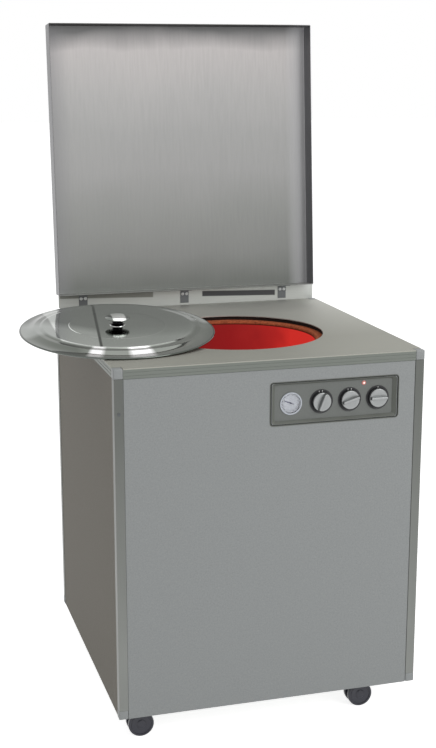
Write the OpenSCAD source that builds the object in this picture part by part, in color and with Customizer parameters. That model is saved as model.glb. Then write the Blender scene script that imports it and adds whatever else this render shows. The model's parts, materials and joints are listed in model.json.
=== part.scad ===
// Electric clay tandoor oven on castors: framed cabinet, clay pot, tray lid and a loose mouth cover.
// +X is to the right, +Y to the back, +Z up. The origin is on the floor, under the cabinet's centre.
// The lid stands open and the round cover lies off the mouth, as on a working day.

/* [Cabinet] */
// Width of the cabinet across its frame
cabinet_w = 700; // [680:10:800]
// Depth of the cabinet across its frame
cabinet_d = 700; // [690:10:800]
// Height of the cabinet from its bottom edge to the underside of the worktop
cabinet_h = 788; // [760:2:860]
// Gap between the floor and the cabinet's bottom edge
floor_gap = 60; // [60:1:80]
// Thickness of the worktop sheet
worktop_t = 2; // [1.5:0.5:4]
// Outside width of the square frame tube
tube_w = 20; // [18:1:24]
// Wall of the frame tube
tube_t = 1.5; // [1:0.25:3]
// Thickness of a side panel
panel_t = 1.5; // [1:0.25:2.5]
// How far a panel's face lies behind the frame's face
panel_recess = 1; // [0.5:0.25:2]
// Joint gap between a panel's edge and the frame beside it
panel_gap = 0.8; // [0.4:0.1:1.5]
// Width of the lip that a panel lies against
lip_w = 10; // [8:1:14]
// Thickness of that lip
lip_t = 1.5; // [1:0.25:2.5]
// How far the corner caps stand proud of the tubes
cap_proud = 0.8; // [0.2:0.1:1.5]
// Radius on the upright edges of a corner cap
cap_r = 2.5; // [1:0.5:4]
// Length of the spigots on a corner cap
spigot_l = 24; // [15:1:30]
// Depth of the two grooves along a top rail
groove_d = 0.6; // [0.3:0.1:0.9]
// Thickness of the base plate
base_t = 2; // [1.5:0.5:4]
// Distance of the first and last rear screws from the ends of the rear panel
rear_screw_end = 80; // [60:5:120]
// Height of the screw on the front post below the worktop
post_screw_drop = 95; // [60:5:140]

/* [Pot] */
// Place of the mouth to the right of the cabinet's centre
mouth_x = 10; // [0:1:14]
// Place of the mouth behind the cabinet's centre
mouth_y = -36; // [-38:1:-20]
// Radius of the hole in the worktop
mouth_r = 205; // [200:1:210]
// Inside radius of the clay pot's mouth
pot_mouth_r = 187; // [182:1:190]
// Outside radius of the clay pot's belly
pot_r = 238; // [232:1:240]
// Outside radius of the clay pot's foot
pot_foot_r = 215; // [205:1:225]
// Wall of the clay pot
pot_wall = 28; // [26:1:32]
// Gap between the clay rim and the underside of the worktop
rim_gap = 8.5; // [5:0.5:12]
// Height of the pot's foot above the base plate
cradle_h = 168; // [140:2:190]
// Thickness of the cradle's top disc
cradle_t = 4; // [3:0.5:6]
// Side of a cradle leg
cradle_leg = 25; // [20:1:32]
// Thickness of the clay floor tile
floor_tile_t = 25; // [20:1:35]
// Diameter of a heating element
element_d = 8; // [6.5:0.5:8.5]
// Free space on each side of a heating element
element_gap = 4; // [3:0.5:4.5]
// Thickness of the insulation round the elements
insulation_t = 17; // [14:1:17]
// Thickness of the drum's sheet
drum_t = 1; // [0.8:0.1:1.5]
// Height of the lowest heating element above the pot's foot
element_first = 60; // [45:5:80]
// Distance between neighbouring heating elements
element_pitch = 120; // [90:5:140]
// Depth of the gauge's bulb below the clay rim
gauge_bulb_drop = 150; // [130:5:170]
// Depth of the thermostat's bulb below the clay rim
thermostat_bulb_drop = 180; // [175:5:220]
// Radius of the thermostat and gauge bulbs
bulb_r = 3; // [2.5:0.25:3.5]

/* [Lid] */
// Width of the tray lid
lid_w = 679; // [660:1:682]
// Place of the lid's centre to the right of the cabinet's centre
lid_x = -8.5; // [-9:0.5:9]
// Length of the tray lid from its front skirt to its rear skirt
lid_l = 669; // [655:1:680]
// Sheet thickness of the lid
lid_t = 1.5; // [1:0.25:1.75]
// Height of the lid's top face above the hinge axis, when closed
lid_rise = 12; // [10:0.5:16]
// How far the open lid leans past upright
lid_lean = 4.5; // [2:0.5:6]
// Height of the hinge axis above the worktop
hinge_z = 39; // [37:0.5:48]
// Gap under the closed lid's skirts
lid_gap = 0.5; // [0.4:0.1:1]
// Width of the rear upstand
upstand_w = 686; // [660:2:690]
// Cut on the upstand's lower left corner
upstand_cut = 9; // [0:1:16]
// Thickness of the rear upstand
upstand_t = 2; // [1.5:0.25:2]
// Distance between neighbouring hinges
hinge_spacing = 268; // [200:2:290]
// Place of the middle hinge to the right of the lid's centre
hinge_shift = -3.5; // [-20:0.5:20]
// Width of a hinge
hinge_w = 22; // [18:1:30]
// Radius of a hinge knuckle
knuckle_r = 2.35; // [2:0.05:2.4]
// Radius of a hinge pin
hinge_pin_r = 1.2; // [1:0.05:1.3]
// Thickness of a hinge leaf
leaf_t = 1.3; // [1:0.1:1.4]
// Height of a hinge leaf below its axis
leaf_h = 34; // [24:1:34]

/* [Cover] */
// Radius of the round cover
cover_r = 222.6; // [215:0.1:228]
// Sheet thickness of the cover
cover_t = 1; // [0.8:0.1:1.5]
// Height of the cover's plateau above its rim
cover_h = 14; // [10:0.5:18]
// Radius of the rolled bead round the rim
bead_r = 2; // [1.5:0.25:2.5]
// Place of the cover's centre to the right of the cabinet's centre
cover_x = -276; // [-290:1:-250]
// Place of the cover's centre behind the cabinet's centre
cover_y = -48.5; // [-60:0.5:-40]
// Tilt of the cover where its rear rim lies on the rest
cover_tilt = 5.2; // [4:0.1:6]
// Radius of the cover's knob
cover_knob_r = 28; // [24:1:32]
// Height of the cover's knob
cover_knob_h = 29; // [24:1:34]
// Radius of the post that carries the cover's rear rim
rest_r = 8; // [6:0.5:10]

/* [Controls] */
// Place of the control panel's centre to the right of the cabinet's centre
controls_x = 141.5; // [135:0.5:150]
// Depth of the control panel's centre below the worktop's face
controls_drop = 100; // [85:1:130]
// Width of the control bezel
bezel_w = 300; // [292:1:304]
// Height of the control bezel
bezel_h = 98; // [96:1:110]
// Corner radius of the control bezel
bezel_r = 8; // [6:0.5:12]
// Thickness of the bezel's flange in front of the panel
bezel_flange = 1.2; // [0.8:0.1:2]
// Depth of the fascia behind the panel's face
fascia_depth = 8; // [7:0.5:10]
// Thickness of the fascia
fascia_t = 1.5; // [1:0.25:2]
// Distance between neighbouring knobs
knob_spacing = 66; // [62:1:68]
// Place of the first knob to the right of the bezel's centre
knob_first = -29.5; // [-34:0.5:-28]
// Radius of a dark disc behind a knob
escutcheon_r = 27; // [24:0.5:28]
// Radius of a knob cap
knob_r = 21; // [18:0.5:23]
// Thickness of a knob cap without its grip bar
knob_h = 8; // [7:0.5:10]
// Height of a knob's grip bar
grip_h = 7; // [5:0.5:10]
// Width of a knob's grip bar
grip_w = 9; // [7:0.5:11]
// Radius of a knob's shaft
shaft_r = 3; // [2.5:0.25:3.5]
// Place of the gauge to the right of the bezel's centre
gauge_first = -99.5; // [-104:0.5:-98]
// Radius of the gauge's rim
gauge_r = 25; // [23:0.5:28]
// Place of the pilot lamp to the right of the bezel's centre
lamp_first = 69.5; // [62:0.5:77]
// Height of the pilot lamp above the bezel's centre
lamp_up = 33; // [30:0.5:37]
// Radius of the pilot lamp's lens
lamp_r = 4.5; // [3.5:0.25:5]

/* [Castors] */
// Diameter of a castor wheel
wheel_d = 58; // [50:1:58]
// Width of each wheel of a pair
wheel_w = 11; // [9:0.5:12]
// Distance between the wheels of a pair
wheel_gap = 12; // [11:0.5:14]
// Distance of the axle behind the swivel axis
castor_trail = 33; // [28:1:36]
// Radius of the wheel axle
axle_r = 3; // [2.5:0.25:4]
// Radius of the swivel stem
stem_r = 5; // [4:0.25:6]
// Distance of a swivel axis inside the cabinet's side
castor_side = 88; // [85:1:110]
// Distance of a swivel axis inside the cabinet's front or back
castor_end = 44; // [44:1:70]

/* [Mains entry] */
// Radius of the cable gland's bore
gland_bore_r = 5; // [3:0.25:6]
// Distance of the cable gland inside the cabinet's right side
gland_side = 80; // [70:5:150]
// Height of the cable gland above the cabinet's bottom edge
gland_z = 60; // [50:5:100]

/* [Hidden] */
$fn = 96;
seat = 0.3;            // clearance of a loose seat
running = 0.05;        // radial clearance of a turning shaft
spigot_fit = 0.15;     // clearance round a spigot
overcut = 1;           // how far a cutting tool reaches past a face
half_w = cabinet_w / 2;
half_d = cabinet_d / 2;
rail_top = floor_gap + tube_w;
z_frame = floor_gap + cabinet_h;
z_top = z_frame + worktop_t;
post_top = z_frame - tube_w;
base_top = rail_top + base_t;
panel_in = panel_recess + panel_t;
panel_top = post_top - panel_gap;
panel_half_w = half_w - tube_w - panel_gap;
panel_half_d = half_d - tube_w - panel_gap;
lip_z0 = base_top;
lip_z1 = post_top - lip_w - seat;
groove_shares = [0.3, 0.68];     // places of the two grooves up a top rail
groove_w = 1.2;
screw_r = 1.9;
screw_hole_r = screw_r + 0.1;
screw_head_r = 3.6;
screw_in = 8;
rear_screw_x = half_w - tube_w - lip_w / 2;
rear_screw_zs = [for (i = [0 : 2])
    base_top + rear_screw_end + i * (post_top - base_top - 2 * rear_screw_end) / 2];
post_screw = [-half_w + tube_w / 2, -half_d, z_frame - post_screw_drop];
post_screw_head = 0.9;

pot_z0 = base_top + cradle_h;
rim_z = z_frame - rim_gap;
rim_r = pot_mouth_r + pot_wall;
pot_bulge_r = 2 * pot_r - (pot_foot_r + rim_r) / 2;
rim_round = 6;         // rounding of the clay rim's edges
pot_steps = 10;
gasket_w = 5.5;
gasket_in = 1.5;       // how far the gasket stands back from the mouth's edge
element_r = pot_r + element_gap + element_d / 2;
insulation_r = element_r + element_d / 2 + element_gap;
drum_r = insulation_r + insulation_t + drum_t;
element_zs = [for (i = [0 : 2]) pot_z0 + element_first + i * element_pitch];
element_pin_r = element_d / 2 - 1;
element_pin_angles = [35, 55];
element_pin_out = 12;  // how far a pin reaches out of the drum
holder_angles = [0, 110, 200, 290];
holder_w = 12;
holder_shelf = 3;
cradle_edge = 6;       // how far the cradle's disc reaches past the drum
gauge_bulb_z = rim_z - gauge_bulb_drop;
thermostat_bulb_z = rim_z - thermostat_bulb_drop;

bezel_body = [bezel_w - 10, bezel_h - 8];
controls_z = z_top - controls_drop;
face_y = -half_d + panel_recess;
fascia_y = face_y + fascia_depth;
fascia_back = fascia_y + fascia_t;
knob_xs = [for (i = [0 : 2]) controls_x + knob_first + i * knob_spacing];
knob_z = controls_z - 2;
knob_turns = [22, 73.3, 90];
escutcheon_t = 1.4;
knob_y = fascia_y - escutcheon_t - seat;
gauge_x = controls_x + gauge_first;
gauge_case_r = gauge_r - 1.5;
gauge_depth = 15;
dial_t = 0.8;
dial_in = 4.5;         // depth of the dial's back behind the fascia's face
dial_y = fascia_y + dial_in;
gauge_wall = 1.4;
gauge_out = 2;         // how far the gauge's rim stands out of the fascia
gauge_tube_in = 32;    // depth of the gauge's tube behind the cabinet's front
thermostat_tube_in = 46;
glass_t = 1.2;
needle_turn = -68;
arbor_r = 0.8;
lamp_x = controls_x + lamp_first;
lamp_z = controls_z + lamp_up;
lamp_body_l = 19;
lens_h = 3;
lens_lip = 1;          // how far the lens covers the edge of its hole
thermostat_size = [44, 22, 46];
switch_size = [38, 28, 40];
switch_bore = 11;      // depth of the bore that takes a shaft
gauge_bulb_angle = pot_angle(gauge_x, -half_d + gauge_tube_in);
thermostat_bulb_angle = pot_angle(knob_xs[0], -half_d + thermostat_tube_in);

leaf_plane = knuckle_r + 0.15;   // distance of the plates beside a hinge from its axis
hinge_y = half_d - upstand_t - leaf_plane;
axis_z = z_top + hinge_z;
lid_open = 90 + lid_lean;
lid_rear = -leaf_plane;          // the closed lid's rear face, seen from the axis
lid_front = lid_rear - lid_l;
lid_low = -(hinge_z - lid_gap);
hinge_xs = [for (i = [-1 : 1]) lid_x + hinge_shift + i * hinge_spacing];
leaf_touch = 0.05;               // gap between a leaf and the plate that it is screwed to
leaf_start = knuckle_r + 2 * seat;
knuckle_l = (hinge_w - 2 * seat) / 3;
leaf_screw_r = 1.4;
leaf_screw_drop = 10;

cover_z = z_top + 0.2 + cover_r * sin(cover_tilt);
rest_y = cover_y + (cover_r - bead_r) * cos(cover_tilt) - bead_r * sin(cover_tilt);
rest_top = cover_z + (cover_r - bead_r) * sin(cover_tilt) + bead_r * cos(cover_tilt) - bead_r - seat;
cover_screw_r = 3;

axle_z = wheel_d / 2;
castor_plate_t = 3;
castor_plate_z = rail_top - castor_plate_t;
bush_h = 8;
bush_r = 12;
swivel_top = castor_plate_z - bush_h - seat;
swivel_h = 8;
fork_under = floor_gap - 1.5;    // top of a fork where it turns under the bottom rails
fork_reach = min(castor_end - panel_in - tube_w - 2.5, castor_trail - 6);
terminal_ways = 5;
terminal_pitch = 11;
terminal_size = [terminal_ways * terminal_pitch + 5, 30, 25];
terminal_at = [half_w - 80, half_d - 110];
wire_r = 2.5;
loom_r = 3.5;
gland_x = half_w - gland_side;
gland_at_z = floor_gap + gland_z;
gland_body_r = gland_bore_r + 4;
gland_out = 20;
gland_in = 6;

// ---- shapes that repeat ----

// A block given by its low and high corners
module block(low, high) {
    translate(low) cube(high - low);
}

// The block and its mirror images in the four corners of the cabinet
module four_corners() {
    for (sx = [0, 1]) for (sy = [0, 1])
        mirror([sx, 0, 0]) mirror([0, sy, 0]) children();
}

// A rectangle with round corners, centred
module rounded_rectangle(w, h, r) {
    square([w - 2 * r, h], center = true);
    square([w, h - 2 * r], center = true);
    for (x = [-1, 1]) for (y = [-1, 1])
        translate([x * (w / 2 - r), y * (h / 2 - r)]) circle(r, $fn = 32);
}

// An upright plate with round corners, whose back is on the plane y = 0
module upright_plate(w, h, r, t) {
    rotate([90, 0, 0]) linear_extrude(t) rounded_rectangle(w, h, r);
}

// A cylinder along Y from y = 0 towards the back
module rod_y(r, l, fn = 48) {
    rotate([-90, 0, 0]) cylinder(r = r, h = l, $fn = fn);
}

// A square tube along Z, centred on the axis
module square_tube(l) {
    linear_extrude(l) difference() {
        square(tube_w, center = true);
        square(tube_w - 2 * tube_t, center = true);
    }
}

// One straight run of a pipe between two points
module pipe_run(a, b, r) {
    d = b - a;
    tilt = acos(d.z / norm(d));
    turn = atan2(d.y, d.x);
    translate(a) rotate([0, tilt, turn]) cylinder(r = r, h = norm(d), $fn = 24);
}

// A direction of length 1 from one point to another
function way(a, b) = (b - a) / norm(b - a);

// A bent pipe with ball corners, each ball's seam on the outside of its bend
module pipe(points, r) {
    for (i = [0 : len(points) - 2]) pipe_run(points[i], points[i + 1], r);
    for (i = [1 : len(points) - 2]) {
        outside = way(points[i - 1], points[i]) + way(points[i + 1], points[i]);
        translate(points[i]) rotate(atan2(outside.y, outside.x)) sphere(r * 1.15, $fn = 24);
    }
}

// A point at a radius, angle and height about the pot's axis
function about_pot(r, angle, z) = [mouth_x + r * cos(angle), mouth_y + r * sin(angle), z];

// The angle about the pot's axis at which a point lies
function pot_angle(x, y) = atan2(y - mouth_y, x - mouth_x);

// A ring about the pot's axis
module pot_ring(outer, inner, z0, z1) {
    translate([mouth_x, mouth_y, z0]) difference() {
        cylinder(r = outer, h = z1 - z0);
        translate([0, 0, -overcut]) cylinder(r = inner, h = z1 - z0 + 2 * overcut);
    }
}

// ---- frame and panels ----

module base_plate() {
    color("#8a8c89") difference() {
        block([-half_w + panel_in + seat, -half_d + panel_in + seat, rail_top],
              [half_w - panel_in - seat, half_d - panel_in - seat, base_top]);
        four_corners() block([half_w - tube_w - seat, half_d - tube_w - seat, rail_top - overcut],
                             [half_w, half_d, base_top + overcut]);
    }
}

// A bottom rail lies behind the panel that covers it
module bottom_rail(half_span, face) {
    run = 2 * (half_span - tube_w - panel_in);
    translate([-run / 2, -face + panel_in + tube_w / 2, floor_gap + tube_w / 2])
        rotate([90, 0, 90]) square_tube(run);
}

module bottom_rails() {
    color("#6d6f6d") for (s = [0, 1]) {
        mirror([0, s, 0]) bottom_rail(half_w, half_d);
        mirror([s, 0, 0]) rotate(-90) bottom_rail(half_d, half_w);
    }
}

module corner_post() {
    difference() {
        union() {
            translate([half_w - tube_w / 2, half_d - tube_w / 2, rail_top])
                square_tube(post_top - rail_top);
            block([half_w - tube_w - lip_w, half_d - panel_in - lip_t, lip_z0],
                  [half_w - tube_w, half_d - panel_in, lip_z1]);
            block([half_w - panel_in - lip_t, half_d - tube_w - lip_w, lip_z0],
                  [half_w - panel_in, half_d - tube_w, lip_z1]);
        }
        children();
    }
}

module rear_screw_holes() {
    for (x = [-1, 1]) for (z = rear_screw_zs)
        translate([x * rear_screw_x, half_d - tube_w / 2, z]) rod_y(screw_hole_r, tube_w);
}

module corner_posts() {
    color("#7d7f7c") difference() {
        four_corners() corner_post();
        rear_screw_holes();
        translate(post_screw - [0, overcut, 0]) rod_y(screw_hole_r, tube_w / 2);
    }
}

// A top rail with two grooves along its face and a lip for the panel below it
module top_rail(half_span, face) {
    run = 2 * (half_span - tube_w);
    difference() {
        union() {
            translate([-run / 2, -face + tube_w / 2, z_frame - tube_w / 2])
                rotate([90, 0, 90]) square_tube(run);
            block([-run / 2, -face + panel_in, post_top - lip_w],
                  [run / 2, -face + panel_in + lip_t, post_top]);
        }
        for (share = groove_shares) {
            z = post_top + share * tube_w;
            block([-run / 2 - overcut, -face - overcut, z],
                  [run / 2 + overcut, -face + groove_d, z + groove_w]);
        }
    }
}

module top_rails() {
    color("#666b66") for (s = [0, 1]) {
        mirror([0, s, 0]) top_rail(half_w, half_d);
        mirror([s, 0, 0]) rotate(-90) top_rail(half_d, half_w);
    }
}

// The square of a corner cap, seen from above, with its outer edge rounded
module cap_outline() {
    side = tube_w + cap_proud;
    translate([half_w - tube_w, half_d - tube_w]) {
        square([side - cap_r, side]);
        square([side, side - cap_r]);
        translate([side - cap_r, side - cap_r]) circle(cap_r, $fn = 32);
    }
}

// Bars that fit inside the tubes which meet at a corner
module spigots(inset, z, up) {
    w = tube_w - 2 * tube_t - 2 * spigot_fit;
    start = tube_w + inset;
    mid = inset + tube_w / 2;
    block([half_w - start - spigot_l, half_d - mid - w / 2, z - w / 2],
          [half_w - start + overcut, half_d - mid + w / 2, z + w / 2]);
    block([half_w - mid - w / 2, half_d - start - spigot_l, z - w / 2],
          [half_w - mid + w / 2, half_d - start + overcut, z + w / 2]);
    post = [half_w - tube_w / 2, half_d - tube_w / 2, z];
    translate(post + [-w / 2, -w / 2, up > 0 ? 0 : -tube_w / 2 - spigot_l])
        cube([w, w, tube_w / 2 + spigot_l]);
}

module corner_caps() {
    color("#9aa2a6") four_corners() {
        translate([0, 0, post_top]) linear_extrude(z_top - post_top) cap_outline();
        spigots(0, z_frame - tube_w / 2, -1);
        translate([0, 0, floor_gap]) linear_extrude(tube_w) cap_outline();
        block([half_w - tube_w - panel_in, half_d - tube_w - panel_in, floor_gap],
              [half_w - panel_in, half_d - panel_in, rail_top]);
        spigots(panel_in, floor_gap + tube_w / 2, 1);
    }
}

// A flat panel on the front side of the cabinet
module flat_panel(half_span, face) {
    block([-half_span, -face + panel_recess, floor_gap], [half_span, -face + panel_in, panel_top]);
}

module front_panel() {
    color("#8e9090") difference() {
        flat_panel(panel_half_w, half_d);
        translate([controls_x, -half_d + panel_in + overcut, controls_z])
            upright_plate(bezel_body.x + 2 * seat, bezel_body.y + 2 * seat, bezel_r - 2,
                          panel_t + 2 * overcut);
    }
}

module left_panel() {
    color("#6f6c64") mirror([1, 0, 0]) rotate(90) flat_panel(panel_half_d, half_w);
}

module right_panel() {
    color("#8e9090") rotate(90) flat_panel(panel_half_d, half_w);
}

module rear_panel() {
    color("#8e9090") difference() {
        mirror([0, 1, 0]) flat_panel(panel_half_w, half_d);
        rear_screw_holes();
        translate([gland_x, half_d - tube_w / 2, gland_at_z]) rod_y(gland_body_r + seat, tube_w);
    }
}

// A screw whose head's back lies on the plane y = 0, pointing towards -Y
module panel_screw(head_t) {
    rod_y(screw_head_r, head_t, 32);
    translate([0, -screw_in, 0]) rod_y(screw_r, screw_in + head_t / 2, 32);
}

module panel_screws() {
    color("#55585a") {
        for (x = [-1, 1]) for (z = rear_screw_zs)
            translate([x * rear_screw_x, half_d - panel_recess, z]) panel_screw(panel_recess);
        translate(post_screw) rotate(180) panel_screw(post_screw_head);
    }
}

module worktop() {
    color("#9c9c94") difference() {
        block([-half_w, -half_d, z_frame], [half_w, half_d, z_top]);
        four_corners() block([half_w - tube_w - seat, half_d - tube_w - seat, z_frame - overcut],
                             [half_w + overcut, half_d + overcut, z_top + overcut]);
        translate([mouth_x, mouth_y, z_frame - overcut])
            cylinder(r = mouth_r, h = worktop_t + 2 * overcut);
    }
}

// ---- clay pot and heater ----

// Outside radius of the pot at a share of its height, wide at the belly
function pot_radius(t) =
    pot_foot_r * (1 - t) * (1 - t) + 2 * pot_bulge_r * t * (1 - t) + rim_r * t * t;
function pot_height(t) = pot_z0 + t * (rim_z - rim_round - pot_z0);

pot_outside = [for (i = [0 : pot_steps]) [pot_radius(i / pot_steps), pot_height(i / pot_steps)]];
pot_inside = [for (p = pot_outside) [p.x - pot_wall, p.y]];
rim_arc = [for (a = [15 : 15 : 75])
    [rim_r - rim_round + rim_round * cos(a), rim_z - rim_round + rim_round * sin(a)]];
rim_arc_inside = [for (a = [105 : 15 : 165])
    [rim_r - pot_wall + rim_round + rim_round * cos(a), rim_z - rim_round + rim_round * sin(a)]];

module clay_pot() {
    color("#b0793f") translate([mouth_x, mouth_y, 0]) rotate_extrude($fn = 96)
        polygon(concat(pot_outside, rim_arc,
                       [[rim_r - rim_round, rim_z], [pot_mouth_r + rim_round, rim_z]],
                       rim_arc_inside, [for (i = [pot_steps : -1 : 0]) pot_inside[i]]));
}

module pot_floor_tile() {
    color("#a5673a") translate([mouth_x, mouth_y, pot_z0])
        cylinder(r = pot_foot_r - pot_wall - seat, h = floor_tile_t);
}

module pot_cradle() {
    leg_at = drum_r * 0.62;
    color("#5d6062") translate([mouth_x, mouth_y, 0]) {
        translate([0, 0, pot_z0 - cradle_t]) cylinder(r = drum_r + cradle_edge, h = cradle_t);
        for (x = [-1, 1]) for (y = [-1, 1])
            translate([x * leg_at - cradle_leg / 2, y * leg_at - cradle_leg / 2, base_top])
                cube([cradle_leg, cradle_leg, pot_z0 - cradle_t - base_top + 0.5]);
    }
}

module mouth_gasket() {
    color("#2b211c")
        pot_ring(mouth_r + gasket_in + gasket_w, mouth_r + gasket_in, rim_z, z_frame);
}

// Round holes through the drum and the insulation for the element pins and the bulbs
module heater_holes() {
    for (a = element_pin_angles) for (z = element_zs)
        radial_hole(a, z, element_pin_r + seat);
    radial_hole(gauge_bulb_angle, gauge_bulb_z, bulb_r + seat);
    radial_hole(thermostat_bulb_angle, thermostat_bulb_z, bulb_r + seat);
}

module radial_hole(angle, z, r) {
    translate([mouth_x, mouth_y, z]) rotate([90, 0, angle + 90])
        translate([0, 0, insulation_r - overcut])
            cylinder(r = r, h = drum_r - insulation_r + 2 * overcut, $fn = 32);
}

module insulation() {
    color("#d8d2c0") difference() {
        pot_ring(drum_r - drum_t - seat, insulation_r, pot_z0, z_frame - seat);
        heater_holes();
    }
}

module heater_drum() {
    color("#b4b6b4") difference() {
        pot_ring(drum_r, drum_r - drum_t, pot_z0, z_frame);
        heater_holes();
    }
}

// A ring element with two pins that reach out through the drum
module heating_element(z) {
    first = element_pin_angles[1];
    turn = 360 - (element_pin_angles[1] - element_pin_angles[0]);
    translate([mouth_x, mouth_y, z]) {
        rotate(first - 2) rotate_extrude(angle = turn + 4)
            translate([element_r, 0]) circle(element_d / 2, $fn = 32);
        for (a = element_pin_angles) rotate([90, 0, a + 90]) translate([0, 0, element_r])
            cylinder(r = element_pin_r, h = drum_r - element_r + element_pin_out, $fn = 32);
    }
}

module heating_elements() {
    color("#6a4a42") for (z = element_zs) heating_element(z);
}

// An upright ceramic holder with a shelf under each element
module element_holder(angle) {
    out = insulation_r - 2 * seat;
    half = holder_w / 2;
    translate([mouth_x, mouth_y, 0]) rotate(angle) {
        block([element_r + element_d / 2 + seat, -half, pot_z0],
              [out, half, element_zs[2] + holder_w]);
        for (z = element_zs)
            block([element_r - element_d / 2 + 1, -half, z - element_d / 2 - seat - holder_shelf],
                  [out, half, z - element_d / 2 - seat]);
    }
}

module element_holders() {
    color("#e2dccb") for (a = holder_angles) element_holder(a);
}

// ---- controls ----

// The bezel's opening narrows towards the fascia
module bezel_opening() {
    hull() {
        translate([0, face_y - bezel_flange + 0.01, 0])
            upright_plate(bezel_w - 8, bezel_h - 6, bezel_r - 3, overcut);
        translate([0, fascia_y + 0.5, 0])
            upright_plate(bezel_w - 26, bezel_h - 14, bezel_r - 4, 0.5);
    }
}

module control_bezel() {
    color("#7b7e7a") translate([controls_x, 0, controls_z]) difference() {
        union() {
            translate([0, face_y, 0]) upright_plate(bezel_w, bezel_h, bezel_r, bezel_flange);
            translate([0, fascia_y, 0])
                upright_plate(bezel_body.x, bezel_body.y, bezel_r - 2, fascia_depth + 0.2);
        }
        bezel_opening();
    }
}

module control_fascia() {
    color("#6f726f") difference() {
        translate([controls_x, fascia_back, controls_z])
            upright_plate(bezel_body.x - 4, bezel_body.y - 2, bezel_r - 3, fascia_t);
        translate([gauge_x, fascia_y - overcut, knob_z]) rod_y(gauge_case_r + seat, 10, 96);
        translate([lamp_x, fascia_y - overcut, lamp_z]) rod_y(lamp_r + seat, 10);
        for (x = knob_xs)
            translate([x, fascia_y - overcut, knob_z]) rod_y(shaft_r + running, 10);
    }
}

module gauge_case() {
    color("#c2c5c8") translate([gauge_x, 0, knob_z]) difference() {
        union() {
            translate([0, fascia_y - gauge_out, 0]) rod_y(gauge_r, gauge_out, 96);
            translate([0, fascia_y - 0.5, 0]) rod_y(gauge_case_r, gauge_depth, 96);
        }
        translate([0, fascia_y - gauge_out - overcut, 0])
            rod_y(gauge_case_r - gauge_wall, dial_in + gauge_out + overcut, 96);
        translate([0, dial_y - overcut, 0]) rod_y(arbor_r + running, 5, 24);
    }
}

module gauge_dial() {
    color("#a7abb1") translate([gauge_x, dial_y - dial_t, knob_z]) difference() {
        rod_y(gauge_case_r - gauge_wall - running, dial_t, 96);
        translate([0, -overcut, 0]) rod_y(arbor_r + running, 5, 24);
    }
}

module gauge_glass() {
    color([0.8, 0.85, 0.9, 0.35]) translate([gauge_x, fascia_y - 1.4, knob_z])
        rod_y(gauge_case_r - gauge_wall - running, glass_t, 96);
}

// A pointer with a short tail, on an arbor that turns in the dial
module gauge_needle() {
    color("#55597a") translate([gauge_x, dial_y - dial_t - 1.2, knob_z])
        rotate([0, needle_turn, 0]) {
            block([-0.9, 0, -8], [0.9, 0.6, 17]);
            rod_y(2.2, 0.8, 32);
            rod_y(arbor_r, 5, 24);
        }
}

module pilot_lamp_body() {
    color("#3a3c3e") translate([lamp_x, fascia_y, lamp_z]) rod_y(lamp_r, lamp_body_l);
}

module pilot_lamp_lens() {
    rim = lamp_r + lens_lip;
    color("#ff5030") translate([lamp_x, fascia_y, lamp_z]) rotate([90, 0, 0])
        rotate_extrude($fn = 48)
            polygon([[0, 0], [rim, 0], [rim, lens_h * 0.27], [lamp_r * 0.85, lens_h * 0.7],
                     [lamp_r * 0.5, lens_h * 0.93], [0, lens_h]]);
}

module knob_escutcheons() {
    color("#2b2b2d") for (x = knob_xs) translate([x, fascia_y - escutcheon_t, knob_z])
        difference() {
            rod_y(escutcheon_r, escutcheon_t, 96);
            translate([0, -overcut, 0]) rod_y(shaft_r + 2, escutcheon_t + 2 * overcut);
        }
}

// The box of a switch behind the fascia, with a bore for the shaft
module switch_box(x, size) {
    difference() {
        translate([x - size.x / 2, fascia_back, knob_z - size.z / 2]) cube(size);
        translate([x, fascia_back - overcut, knob_z])
            rod_y(shaft_r + running, switch_bore + overcut);
    }
}

module thermostat() {
    color("#d6d3c8") switch_box(knob_xs[0], thermostat_size);
}

module selector_switches() {
    color("#d6d3c8") for (i = [1, 2]) switch_box(knob_xs[i], switch_size);
}

// A shaft from the switch to the knob
module knob_shaft(i) {
    tip = knob_y - knob_h + 1;
    color("#a9abad") translate([knob_xs[i], tip, knob_z])
        rod_y(shaft_r, fascia_back + switch_bore - 1 - tip, 48);
}

// A round cap with a grip bar, its bar upright before it is turned
module knob_cap(i) {
    color("#c9cbcc") translate([knob_xs[i], knob_y, knob_z]) rotate([0, knob_turns[i], 0])
        difference() {
            union() {
                rotate([90, 0, 0]) rotate_extrude($fn = 96)
                    polygon([[0, 0], [knob_r, 0], [knob_r, knob_h - 2.5],
                             [knob_r - 1.5, knob_h - 0.6], [knob_r - 3.5, knob_h], [0, knob_h]]);
                translate([0, -knob_h + 0.5, 0])
                    upright_plate(grip_w, 2 * knob_r - 1.5, grip_w / 2 - 0.5, grip_h + 0.5);
            }
            translate([0, -knob_h + 1, 0]) rod_y(shaft_r + running, knob_h + overcut);
        }
}

// A capillary from a device at the front to its bulb in the drum
module capillary(x, y, drop_y, z, angle) {
    bulb_out = about_pot(drum_r + 6, angle, z);
    bulb_in = about_pot(element_r - 2, angle, z);
    pipe([[x, y, knob_z - 8], [x, drop_y, knob_z - 8], [x, drop_y, z + 12], bulb_out], 1.2);
    pipe_run(bulb_out, bulb_in, bulb_r);
}

module capillary_tubes() {
    color("#b87d4b") {
        capillary(gauge_x, fascia_y - 0.5 + gauge_depth, -half_d + gauge_tube_in, gauge_bulb_z,
                  gauge_bulb_angle);
        capillary(knob_xs[0], fascia_back + thermostat_size.y, -half_d + thermostat_tube_in,
                  thermostat_bulb_z, thermostat_bulb_angle);
    }
}

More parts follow.
